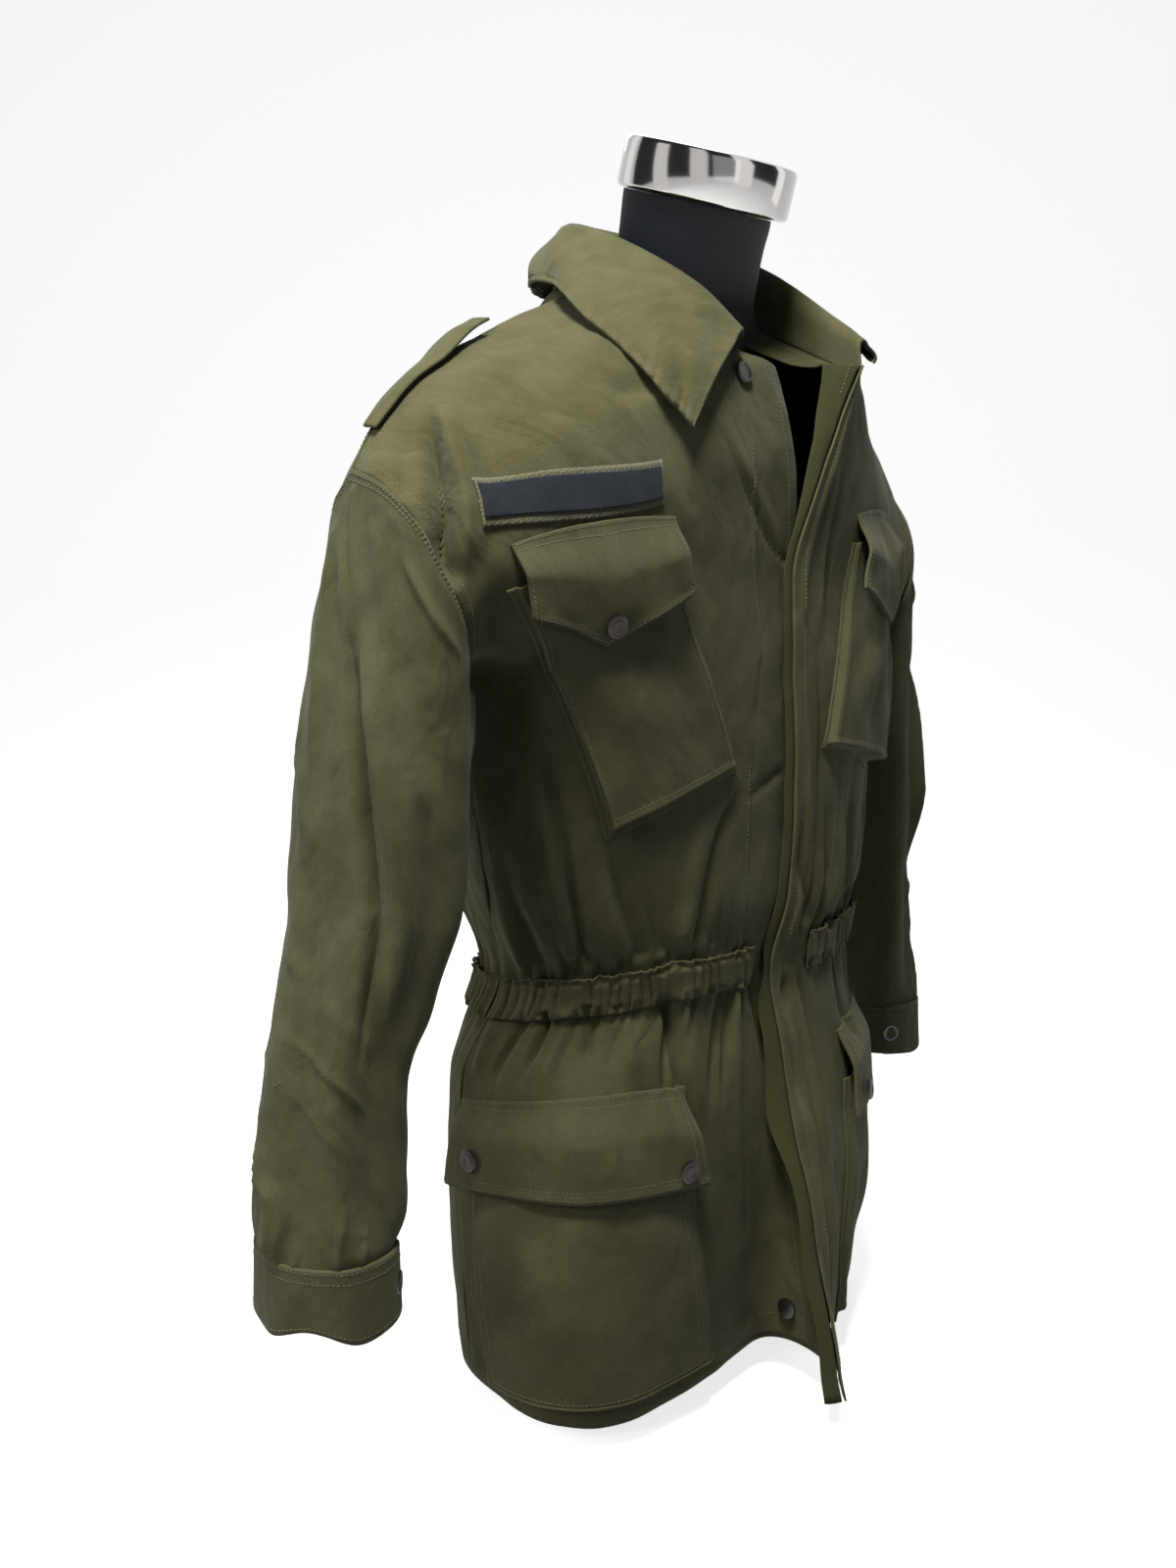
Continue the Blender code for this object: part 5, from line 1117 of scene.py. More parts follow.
def ring(side, turn, z, x, y, across, alongDepth, twist):
    # Level ellipse x = -a cos, y = -b sin, turned by twist about the upright.
    twist = math.radians(twist) * side
    localX = -np.cos(turn) * across * side
    localY = -np.sin(turn) * alongDepth
    return np.stack([side * x + localX * math.cos(twist) - localY * math.sin(twist),
                     y + localX * math.sin(twist) + localY * math.cos(twist),
                     np.full_like(turn, z)], axis=-1)


def sleeveTable(side):
    # The sleeve's rings, those of the left one moved in and back.
    table = np.array(sleeve["rings"])
    if side == left:
        table[:, 1] -= np.interp(table[:, 0], *sleeve["leftIn"])
        table[:, 2] += sleeve["leftBack"]
    return table


def sleeveBase(side, turn, v):
    # Rings from the armhole down to the cuff seam, joined by a smooth curve, v from 0 to 1.
    flatTurn = turn.reshape(-1)
    top = armhole(side, flatTurn)
    rings = [top]
    for spot, row in enumerate(sleeveTable(side)[::-1]):
        level = ring(side, flatTurn, *row)
        keep = 1.0 - sleeve["blend"][spot + 1] if spot + 1 < len(sleeve["blend"]) else 0.0
        hang = top.copy()
        hang[:, 2] += (row[0] - sleeve["hangFrom"]) * sleeve["hangShare"]
        hang[:, 0] += side * sleeve["underarmClear"] * (1 - keep) * (0.5 + 0.5 * np.cos(flatTurn))
        rings.append(level * (1 - keep) + hang * keep)
    rings = np.array(rings)
    position = np.clip(v.reshape(-1), 0.0, 1.0) * (len(rings) - 1.0)
    low = np.minimum(position.astype(int), len(rings) - 2)
    slope = slopesOf(rings)
    pick = np.arange(len(position))
    points = hermite(rings[low, pick], rings[low + 1, pick], slope[low, pick], slope[low + 1, pick],
                     (position - low)[:, None])
    centre = rings.mean(axis=1)
    away = points - along(centre, position)
    away[:, 2] = 0.0
    share = v.reshape(-1)
    fade = ease((share - 0.15) / 0.3) * ease((0.99 - share) / 0.15)
    wave = (sleeve["sway"][0] * np.sin(2.0 * flatTurn + 1.0)
            + sleeve["sway"][1] * np.sin(5.0 * flatTurn + 2.0 + 2.0 * share))
    return (points + unit(away) * (wave * fade)[:, None]).reshape(turn.shape + (3,))


def makeSleeveSurface(side):
    # Function (turn share, v, lift) -> points: the smooth sleeve plus normal * (folds + lift).
    def base(share, v):
        return sleeveBase(side, np.mod(share, 1.0) * 2 * math.pi, v)
    folds = foldsFrom(base, sleeveFolds, foldStrength["sleeve"])
    seed = rumples["seeds"]["sleeve"] + side

    def surface(share, v, lift=0.0):
        points = base(share, v)
        step = 0.003
        v0 = np.clip(v, 0.01, 0.99)
        across = base(share + step, v0) - base(share - step, v0)
        down = base(share, v0 + step) - base(share, v0 - step)
        normals = unit(np.cross(down, across)) * -side
        relief = foldRelief(points, normals, folds) + rumple(points, seed) * hump(v, 0.05)
        return points + normals * (relief + lift)[..., None]
    return surface


sleeveSurface = {right: makeSleeveSurface(right), left: makeSleeveSurface(left)}


def makeSleeves():
    # Each sleeve is one closed tube, stitched along the armhole and round its elbow patch.
    for side in (right, left):
        word = words[side]
        turns = np.arange(0, 1, 1 / int(sleeve["columns"] / pitch))
        share, v = grid(turns, lines(0.0, 1.0, sleeve["rows"]))
        points = flipFor(-side, sleeveSurface[side](share, v))
        cloth("sleeveTube_" + word, points, olive, sleeve["wall"],
              ["sleeve_top_" + word, "sleeve_under_" + word],
              closed=True)
        seams = "sleeveSeams_" + word
        for edge in sleeve["seams"]:
            stitchLine(seams, sleeveSurface[side], ((0.0, edge), (0.9999, edge)), 0.0, 1600)
        stitchLine(seams, sleeveSurface[side], sleeve["elbowPatch"], 0.0, 600)


def cuffPoints(side, turn, share, lift):
    # Ellipses between the cuff's top and bottom, a little wider downwards, dented by two slow
    # waves that grow towards the foot, whose edge rises and falls by a third.
    _, x, y, _, _, twist = sleeveTable(side)[0]
    foot = cuff["edgeWave"] * (np.sin(3.0 * turn + 0.6) + 0.5 * np.sin(5.0 * turn + 2.0)) * share ** 2
    z = cuff["top"] + (cuff["bottom"] - cuff["top"]) * share + foot
    dent = cuff["dent"] * (np.sin(3.0 * turn + 0.9) + 0.45 * np.sin(7.0 * turn)) * (0.25 + 0.75 * share)
    lapped = cuff["lap"] * ease(np.mod(turn - cuff["lapTurn"], 2 * math.pi) / 0.06)
    lapped = lapped * ease((cuff["lapWidth"] - np.mod(turn - cuff["lapTurn"], 2 * math.pi)) / 0.35)
    twist = math.radians(twist) * side
    grown = cuff["flare"] * share + lift + dent + lapped
    localX = -np.cos(turn) * (cuff["across"] + grown) * side
    localY = -np.sin(turn) * (cuff["along"] + grown)
    return np.stack([side * x + localX * math.cos(twist) - localY * math.sin(twist),
                     y + localX * math.sin(twist) + localY * math.cos(twist), z], axis=-1)


def makeCuffs():
    # Each cuff is a closed band, stitched twice below its seam and once above its foot.
    for side in (right, left):
        word = words[side]
        turns = np.arange(0, 1, 1 / int(cuff["columns"] / pitch)) * 2 * math.pi
        turn, share = grid(turns, lines(0.0, 1.0, cuff["lines"]))
        # the cuff's top and foot are painted lighter: wear and a painted edge highlight
        cloth("cuffBand_" + word, flipFor(-side, cuffPoints(side, turn, share, 0.0)), olive, cuff["wall"],
              ["cuff_" + word], closed=True,
              wearAndHighlight=edgeWearAndHighlight(share, (0.5, 0.05)) + edgeWearAndHighlight(1 - share, (0.6, 0.05)))

        def surface(u, row, lift=0.0):
            return cuffPoints(side, u, row, lift)
        for edge in cuff["seams"]:
            stitchLine("cuffSeams_" + word, surface, ((0.02, edge), (6.26, edge)), 0.0, 900)


makeSleeves()
makeCuffs()
print("sleeves made")


collar = {
    "rows": (
        # fold                     leaf edge, from the right front's end to the centre back
        ((0.050, -0.0920, 0.7300), (0.123, -0.1070, 0.6680)),
        ((0.061, -0.0680, 0.7560), (0.138, -0.0870, 0.6960)),
        ((0.075, -0.0290, 0.7820), (0.142, -0.0420, 0.7330)),
        ((0.079, 0.0130, 0.8000), (0.119, 0.0130, 0.7640)),
        ((0.052, 0.0510, 0.8090), (0.076, 0.0690, 0.7720)),
        ((0.000, 0.0700, 0.8150), (0.000, 0.1070, 0.7710)),
    ),
    "leftRows": (
        ((0.075, -0.0290, 0.7820), (0.106, -0.0400, 0.7500)),
        ((0.073, -0.0810, 0.7480), (0.090, -0.0880, 0.7330)),
        ((0.064, -0.1120, 0.7310), (0.080, -0.1140, 0.7200)),
    ),
    "shoulder": 3.0,             # station at the shoulder seam, and at the centre back
    "centre": 5.0,
    "endRows": (10.0, 9.35),     # rows of the fronts where the collar ends, right and left
    "turn": 0.0055,              # how far the leaf stands out from the stand at the fold
    "bow": 0.006,
    "standShare": 0.3,
    "raise": 0.0014,
    "farSink": 0.0060,           # the left half's seam sinks this far behind the front
    "sinkOver": 3.0,             # stations
    "foldRound": 0.0030,
    "pucker": 0.0006,
    "wrinkle": 0.0015,
    "step": 0.0009,              # depth of the groove under each row of stitches
    "seams": (0.968, 0.925),
    "seamWidths": (0.010, 0.012),
    "endSeams": (0.014, 0.986),
    "wall": 0.0022,
    "flat": (0.540, 0.095),
}


def neckline(spot):
    # Neck edge at a station: the right front's edge, the back's top edge, the left front's edge.
    near, middle = collar["shoulder"], collar["centre"]
    far = 2 * middle - near
    rightRow = np.interp(spot, (0.0, near), (collar["endRows"][0], body["topRow"]))
    leftRow = np.interp(spot, (far, 2 * middle), (body["topRow"], collar["endRows"][1]))
    backU = np.interp(spot, (near, far), (-body["neckShare"], body["neckShare"]))
    edge = np.zeros_like(spot)
    points = backBase(backU, edge + body["topRow"])
    points = np.where((spot < near)[..., None], frontBase(edge, rightRow, right), points)
    return np.where((spot > far)[..., None], frontBase(edge, leftRow, left), points)


def collarSurface(way, v, lift=0.0):
    # Up from the neckline, round the fold and down the leaf, v from 0 to 1. The way round the neck is
    # 0 at the right front's end and 1 at the left one's.
    half = np.array(collar["rows"])
    rightHalf = half.copy()
    rightHalf[..., 0] *= right
    leftHalf = half[::-1].copy()
    leftHalf[-len(collar["leftRows"]):] = collar["leftRows"]
    stations = np.concatenate([rightHalf, leftHalf[1:]])
    spot = way * (len(stations) - 1.0)
    fold, leaf = np.moveaxis(along(stations, spot), -2, 0)
    seam = neckline(spot)
    sink = ease((spot - collar["centre"]) / collar["sinkOver"])
    seam[..., 2] += collar["raise"] - collar["farSink"] * sink
    out = leaf - seam
    out[..., 2] = 0.0
    out = unit(out)
    over = fold + out * collar["turn"]
    stand = collar["standShare"]
    rise = np.clip(v / stand, 0.0, 1.0)[..., None]
    fall = np.clip((v - stand) / (1.0 - stand), 0.0, 1.0)[..., None]
    up = seam + (fold - seam) * rise
    edge = np.exp(-((1.0 - v) / 0.10) ** 2)
    pucker = collar["pucker"] * edge * (np.sin(331.0 * way + 9.0 * v) + 0.6 * np.sin(211.0 * way + 2.0))
    wrinkle = collar["wrinkle"] * (np.sin(52.0 * way + 9.0 * v) + 0.7 * np.sin(31.0 * way - 7.0 * v + 1.0)
                                   + 0.5 * np.sin(95.0 * way + 14.0 * v)) * fall[..., 0] * hump(way, 0.02)
    groove = sum(np.exp(-((v - level) / width) ** 2)
                 for level, width in zip(collar["seams"], collar["seamWidths"]))
    bow = (collar["bow"] * np.sin(math.pi * fall)
           + (lift + pucker + wrinkle - collar["step"] * groove)[..., None])
    down = over + (leaf - over) * fall + out * bow
    near = ease((v - stand + 0.05) / 0.10)[..., None]
    points = up * (1 - near) + down * near
    points[..., 2] += collar["foldRound"] * np.exp(-((v - stand) / 0.045) ** 2)
    return points


def makeCollar():
    # The collar is one surface, stitched twice along the leaf's edge and once along each end.
    way, v = grid(lines(0.0, 1.0, 230), lines(0.0, 1.0, 44))
    # the leaf's edge and the collar's ends are painted lighter: wear and a painted edge highlight
    ends = edgeWearAndHighlight(np.minimum(way, 1.0 - way), (0.6, 0.006)) * ease(v / collar["standShare"])
    cloth("collarLeaf", collarSurface(way, v)[::-1], olive, collar["wall"], ["collar"],
          wearAndHighlight=(edgeWearAndHighlight(1.0 - v, (0.8, 0.02)) + ends)[::-1])
    start, finish = collar["endSeams"]
    for level in collar["seams"]:
        stitchLine("collarSeams", collarSurface, ((start, level), (finish, level)), 0.0004, 2200)
    for end in (start, finish):
        stitchLine("collarSeams", collarSurface, ((end, 0.42), (end, 0.97)), 0.0004, 500)


makeCollar()
print("collar made")


patches = {
    # corners as u, row: inner low, outer low, outer high, inner high
    "chestPocket": {right: ((0.226, 4.98), (0.618, 4.58), (0.884, 7.80), (0.440, 7.50)),
                    left: ((0.105, 5.05), (0.455, 4.72), (0.640, 7.70), (0.243, 7.35))},
    "chestFlap": {right: ((0.404, 7.00), (0.846, 7.44), (0.858, 8.33), (0.442, 7.80)),
                  left: ((0.215, 6.85), (0.615, 7.15), (0.665, 8.10), (0.250, 7.64))},
    "lowerPocket": {right: ((0.275, 0.10), (0.930, 0.10), (0.965, 1.70), (0.355, 1.62)),
                    left: ((0.200, 0.10), (0.930, 0.10), (0.940, 1.70), (0.255, 1.62))},
    "lowerFlap": {right: ((0.321, 1.31), (0.985, 1.24), (0.990, 1.90), (0.362, 2.06)),
                  left: ((0.240, 1.33), (0.970, 1.38), (0.975, 2.05), (0.245, 2.06))},
    "bows": {"chestPocket": 0.0, "chestFlap": 0.0, "lowerPocket": 0.0, "lowerFlap": -0.12},
    "chestPoint": 0.58,          # how far a flap's point hangs down, in rows
    "lowerPoint": 0.07,
    "chestBulge": 0.009,         # how far a bag stands off the front
    "lowerBulge": 0.011,
    "leftFuller": 0.005,
    "chestLift": 0.0098,         # how far a flap's foot stands off the front
    "lowerLift": 0.0098,
    "gusset": 0.040,             # share of a bag's width that lies flat round it
    "step": 0.016,               # share over which its face rises
    "bagLift": 0.0016,
    "flapLift": 0.0024,
    "wall": 0.0014,
    "flapWall": 0.0022,
    "flapSeams": {"chestFlap": (0.0028,), "lowerFlap": (0.0028, 0.0085)},    # inside the edge
    "topSeams": (0.0022, 0.0080),
    "flat": {"chestPocket": {right: (0.130, 0.175), left: (0.110, 0.172)},
             "chestFlap": {right: (0.125, 0.070), left: (0.100, 0.070)},
             "lowerPocket": {right: (0.220, 0.190), left: (0.230, 0.190)},
             "lowerFlap": {right: (0.205, 0.075), left: (0.225, 0.075)}},
}


def patchUv(corners, s, t, bow=0.0):
    # Bilinear place on a patch, s outwards and t from the top down, lowered by bow * 4s(1 - s).
    innerLow, outerLow, outerHigh, innerHigh = (np.array(corner) for corner in corners)
    s, t = s[..., None], t[..., None]
    spot = (innerHigh * (1 - s) + outerHigh * s) * (1 - t) + (innerLow * (1 - s) + outerLow * s) * t
    return spot[..., 0], spot[..., 1] - bow * 4 * s[..., 0] * (1 - s[..., 0])


def onPatch(side, kind, dip, profile):
    # Function (s, t, lift) -> points: the patch's places on the front, its foot lowered by
    # dip * (1 - |2s - 1|) * t, raised by the profile of s and t.
    def surface(s, t, lift=0.0):
        u, row = patchUv(patches[kind][side], s, t, patches["bows"][kind])
        return frontSurface[side](u, row - dip * (1 - np.abs(2 * s - 1)) * t, profile(s, t) + lift)
    return surface


def makePocket(side, kind, node, bulge):
    # A bellows bag: a flat gusset lies round it, then the face stands up in a short steep step,
    # full on its outer side and low on its inner side, pinched under the flap.
    gusset, step = patches["gusset"], patches["step"]
    foot = gusset * 0.4

    def profile(s, t):
        rise = ease((s - gusset * 0.5) / step) * ease((1.0 - gusset - s) / step)
        rise = rise * ease((1.0 - foot - t) / (step * 0.8))
        full = (0.30 + 0.70 * s) * (0.18 + 0.82 * ease((t - 0.02) / 0.65))
        crown = 0.0016 * np.sin(math.pi * np.clip(s, 0, 1)) * np.sin(math.pi * np.clip(t, 0, 1))
        sag = (0.0016 * np.sin(9.0 * s + 5.0 * t + side) + 0.0008 * np.sin(21.0 * s - 9.0 * t)
               + 0.0006 * np.sin(17.0 * t + 6.0 * s)) * hump(s, 0.25) * hump(t, 0.25)
        lip = 0.0007 * (np.exp(-((s - gusset - step) / 0.012) ** 2)
                        + np.exp(-((1.0 - gusset - step - s) / 0.012) ** 2)
                        + np.exp(-((1.0 - foot - step - t) / 0.012) ** 2))
        return patches["bagLift"] + rise * (0.0012 + bulge * full + crown + sag + lip)
    # the lines stand closer where the face rises
    nearStart = np.linspace(0, gusset + 2 * step, 14)[1:]
    nearEnd = np.linspace(1 - gusset - 2 * step, 1, 14)[:-1]
    across = np.sort(np.concatenate([lines(0.0, 1.0, 84), nearStart, nearEnd]))
    down = np.sort(np.concatenate([lines(0.0, 1.0, 90), nearEnd]))
    s, t = grid(across, down)
    surface = onPatch(side, kind, 0.0, profile)
    word = words[side]
    # the face's rising edges and the bag's sides and foot are painted lighter: wear and a painted edge
    # highlight
    edges = (np.abs(s - gusset - step), np.abs(1 - gusset - step - s), np.abs(1 - foot - step - t), s, 1 - s)
    light = sum(edgeWearAndHighlight(distance, (0.60, 0.006)) for distance in edges) + edgeWearAndHighlight(1 - t, (0.60, 0.005))
    cloth(kind + "_" + word, flipFor(side, surface(s, t)[::-1]), olive, patches["wall"], [node + "_" + word],
          wearAndHighlight=flipFor(side, np.minimum(light, 1.0)[::-1]))
    inside = gusset + step + 0.022
    low = 1 - foot - step - 0.016
    face = ((inside, 0.02), (inside, low), (1 - inside, low), (1 - inside, 0.02))
    rim = ((0.012, 0.04), (0.012, 0.985), (0.988, 0.985), (0.988, 0.04))
    for path in (face, rim):
        stitchLine("pocketSeams_" + word, surface, path, 0.0, 1200)


def makeFlap(side, kind, node, point, lift):
    # A flap that stands off more towards its foot and curls a little at its outer corner.
    def profile(s, t):
        curl = 0.0022 * ease((s - 0.72) / 0.28) * ease((t - 0.5) / 0.5)
        wave = 0.0008 * np.sin(7.5 * s + 1.0 + side) * t
        lip = 0.0005 * (np.exp(-((s - 0.03) / 0.02) ** 2) + np.exp(-((0.97 - s) / 0.02) ** 2)
                        + np.exp(-((0.95 - t) / 0.03) ** 2))
        crease = 0.0016 * np.exp(-((s - 0.82 - 0.03 * t) / 0.022) ** 2) * (1 - t) * (kind == "lowerFlap")
        sag = 0.0007 * np.sin(17.0 * s + 3.0 * t + side) * hump(t, 0.3)
        return patches["flapLift"] + (lift - 0.0004) * ease(t / 0.50) + curl + wave + lip + crease + sag
    s, t = grid(lines(0.0, 1.0, 110), lines(0.0, 1.0, 52))
    surface = onPatch(side, kind, point, profile)
    word = words[side]
    # all four edges of the flap are painted lighter: wear and a painted edge highlight
    light = (edgeWearAndHighlight(s, (0.85, 0.007)) + edgeWearAndHighlight(1 - s, (0.85, 0.007))
             + edgeWearAndHighlight(1 - t, (0.85, 0.012)) + edgeWearAndHighlight(t, (0.85, 0.012)))
    cloth(kind + "_" + word, flipFor(side, surface(s, t)[::-1]), olive, patches["flapWall"],
          [node + "_" + word],
          wearAndHighlight=flipFor(side, np.minimum(light, 1.0)[::-1]))
    width, depth = patches["flat"][kind][side]
    seams = "flapSeams_" + word
    for inside in patches["flapSeams"][kind]:
        a, b = inside / width, 1 - inside / depth
        stitchLine(seams, surface, ((a, 0.03), (a, b), (0.5, b), (1 - a, b), (1 - a, 0.03)), 0.0, 1000)
    for inside in patches["topSeams"]:
        stitchLine(seams, surface, ((0.015, inside / depth), (0.985, inside / depth)), 0.0, 800)


def makePatches():
    # Two pockets and two flaps on each front.
    for side in (right, left):
        more = 0.0 if side == right else patches["leftFuller"]
        makePocket(side, "chestPocket", "chest_pocket", patches["chestBulge"] + more)
        makeFlap(side, "chestFlap", "chest_flap", patches["chestPoint"], patches["chestLift"] + more)
        makePocket(side, "lowerPocket", "lower_pocket", patches["lowerBulge"])
        makeFlap(side, "lowerFlap", "lower_flap", patches["lowerPoint"], patches["lowerLift"])


tape = {
    # corners as u, row: inner low, outer low, outer high, inner high
    "corners": ((0.475, 7.96), (0.900, 8.70), (0.878, 9.35), (0.475, 8.40)),
    "bow": 0.17,
    "loopLift": 0.0018,
    "stripLift": 0.0030,
    "stripStart": (0.012, 0.13),         # where the strip starts on the loop tape, along and down
    "stripShare": (0.976, 0.70),
    "seam": ((0.012, 0.08), (0.988, 0.08), (0.988, 0.92), (0.012, 0.92), (0.012, 0.08)),
    "wall": 0.0012,
    "loopFlat": (0.150, 0.030),
    "stripFlat": (0.140, 0.020),
}


def tapeSurface(s, t, lift=0.0):
    # The right front's place at s along and t down the tape, raised by the tape and the lift.
    u, row = patchUv(tape["corners"], s, t, tape["bow"])
    return frontSurface[right](u, row, np.full(s.shape, tape["loopLift"]) + lift)


def makeTapes():
    # A loop tape sewn to the right front, and a plain woven strip within it.
    s, t = grid(lines(0.0, 1.0, 90), lines(0.0, 1.0, 20))
    cloth("tapeLoop", tapeSurface(s, t)[::-1, ::-1], loopTape, tape["wall"], ["name_tape_loop"],
          slot="olive_loop_tape")
    (startS, startT), (shareS, shareT) = tape["stripStart"], tape["stripShare"]
    points = tapeSurface(startS + shareS * s, startT + shareT * t, tape["stripLift"] - tape["loopLift"])
    cloth("tapeStrip", points[::-1, ::-1], navy, tape["wall"], ["name_tape_strip"],
          slot="navy_tape")
    stitchLine("tapeSeams", tapeSurface, tape["seam"], 0.0, 900)


makePatches()
makeTapes()
print("pockets, flaps and tapes made")


strap = {
    "start": 0.885,              # u at its sewn end and at its free end
    "end": 0.44,
    "halfWidth": 0.018,
    "skew": 0.30,                # how much its rear edge draws in towards the neck
    "back": 0.009,               # its middle lies this far behind the shoulder seam
    "lift": 0.0030,
    "arch": 0.0004,
    "endLift": 0.0065,
    "endFrom": 0.55,             # share of its length at which the free end starts to rise
    "lowRow": 8.6,
    "steps": 60,
    "wall": 0.0018,
    "flat": (0.040, 0.120),
}


def strapPoints(side, lengthShare, widthShare, lift):
    # For each u along the strap, the line over the shoulder from the front to the back, and on it the
    # places at the strap's own distances from the shoulder seam.
    u = strap["start"] + (strap["end"] - strap["start"]) * lengthShare
    rows = np.linspace(body["topRow"] - 0.03, strap["lowRow"], strap["steps"])
    drawn = 1 - strap["skew"] * np.linspace(0.0, 1.0, strap["steps"])
    spots = widthShare * strap["halfWidth"] + strap["back"]
    crossLines = []
    for value, extra in zip(u, lift):
        height = np.full_like(rows, extra)
        down = frontSurface[side](np.full_like(rows, value), rows, height)
        backU = side * (body["neckShare"] + (1 - body["neckShare"]) * value * drawn)
        line = np.concatenate([down[::-1], backSurface(backU, rows, height)])
        steps = np.linalg.norm(np.diff(line, axis=0), axis=1)
        length = np.concatenate([[0.0], np.cumsum(steps)])
        length -= length[len(down) - 1] + 0.5 * steps[len(down) - 1]
        crossLines.append(np.stack([np.interp(spots, length, line[:, axis]) for axis in range(3)], axis=-1))
    return np.array(crossLines)


def makeStraps():
    # Each strap arches a little over the shoulder, and its free end stands up.
    for side in (right, left):
        word = words[side]
        share = lines(0.0, 1.0, 60)
        free = ease((share - strap["endFrom"]) / (1.0 - strap["endFrom"]))
        lift = strap["lift"] + strap["arch"] * np.sin(math.pi * share) + strap["endLift"] * free
        points = strapPoints(side, share, lines(-1.0, 1.0, 20), lift)
        cloth("shoulderStrap_" + word, points if side == right else points[::-1], olive, strap["wall"],
              ["epaulette_" + word])


makeStraps()
print("straps made")


def fromNode(node):
    # Centre and outward direction of a round fastener, read from the frame's box and mesh.
    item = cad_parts[node]
    points = np.empty(len(item.data.vertices) * 3)
    item.data.vertices.foreach_get("co", points)
    points = points.reshape(-1, 3)
    centre = points.mean(axis=0)
    axis = np.linalg.svd(points - centre)[2][2]
    return centre, axis


def faceOutwards(mesh, fill=False):
    # Fills the open rings where asked, and turns every face outwards.
    build = bmesh.new()
    build.from_mesh(mesh)
    if fill:
        bmesh.ops.holes_fill(build, edges=[edge for edge in build.edges if edge.is_boundary])
    bmesh.ops.recalc_face_normals(build, faces=build.faces)
    build.to_mesh(mesh)
    build.free()


def turnedMesh(name, profile, segments=48):
    # A profile of radius and height turned about the upright: r cos a, r sin a and h for each angle a,
    # with one point at each of its two poles.
    radius, height = np.array(profile[1:-1]).T[..., None]
    angle = np.arange(segments) * 2 * math.pi / segments
    rings = np.stack([radius * np.cos(angle), radius * np.sin(angle), height + 0 * angle], axis=-1)
    poles = np.array([(0.0, 0.0, profile[0][1]), (0.0, 0.0, profile[-1][1])])
    index = np.arange(rings.shape[0] * segments).reshape(-1, segments)
    ahead = np.roll(index, -1, axis=1)
    sides = np.stack([index[:-1], ahead[:-1], ahead[1:], index[1:]], axis=-1).reshape(-1, 4)
    first = np.full(segments, index.size)
    foot = np.stack([first, ahead[0], index[0]], axis=-1)
    top = np.stack([index[-1], ahead[-1], first + 1], axis=-1)
    mesh = bpy.data.meshes.new(name)
    mesh.from_pydata(np.concatenate([rings.reshape(-1, 3), poles]).tolist(), [],
                     sides.tolist() + foot.tolist() + top.tolist())
    faceOutwards(mesh)
    mesh.shade_smooth()
    mesh.set_sharp_from_angle(angle=math.radians(40.0))
    return mesh


# Radius and height in millimetres, from the middle of the back round the rim to the middle of the face.
fasteners = {
    "snap": ((0.0, 0.0), (7.6, 0.0), (7.8, 0.5), (7.6, 1.1), (6.9, 1.7), (6.2, 1.9), (5.9, 1.6), (4.6, 1.5),
             (4.3, 1.8), (3.6, 1.9), (3.2, 1.5), (0.0, 1.5)),
    "button": ((0.0, 0.0), (6.6, 0.0), (7.4, 0.5), (7.5, 1.2), (7.0, 2.1), (6.2, 2.4), (5.4, 2.2), (4.8, 1.6),
               (0.0, 1.5)),
    "sunk": 0.0011,              # its back lies this far below its node's middle
    "bodyMiddle": (0.0, 0.01),
    # piece, node and the way its face looks
    "frontButtons": (("button_top_button", "top_button", (0.0, -1.0, 0.0)),
                     ("button_placket_button_lower", "placket_button_lower", (0.0, -1.0, 0.0)),
                     ("button_placket_upper", "placket_button_upper", (-1.0, 0.0, 0.0))),
}


def makeFastener(name, node, profile, finish, slot, towards):
    # Turns a profile about the fastener's own axis, in its node's place, its face the way of towards.
    centre, axis = fromNode(node)
    if np.dot(axis, towards) < 0:
        axis = -axis
    mesh = turnedMesh(name, np.array(fasteners[profile]) / 1000)
    turn = Vector(axis).to_track_quat("Z", "Y").to_matrix().to_4x4()
    mesh.transform(Matrix.Translation(Vector(centre - axis * fasteners["sunk"])) @ turn)
    place(name, mesh, finish, slot, [node])


def awayFrom(node, x, y):
    # The level direction from the upright at x, y to a node's middle.
    centre, _ = fromNode(node)
    return np.array((centre[0] - x, centre[1] - y, 0.0))


def makeFasteners():
    # Six snap caps, and the buttons of the cuffs, the collar's foot and the placket.
    for side in (right, left):
        word = words[side]
        for kind in ("chest_snap_", "lower_snap_inner_", "lower_snap_outer_"):
            node = kind + word
            makeFastener("cap_" + node, node, "snap", gunmetal, "gunmetal",
                         awayFrom(node, *fasteners["bodyMiddle"]))
        node = "cuff_button_" + word
        x, y = sleeveTable(side)[0][1:3]
        makeFastener("button_cuff_" + word, node, "button", buttonBrown, "dark_brown_button",
                     awayFrom(node, x * side, y))
    for name, node, towards in fasteners["frontButtons"]:
        makeFastener(name, node, "button", buttonBrown, "dark_brown_button", towards)


makeFasteners()
print("fasteners made")


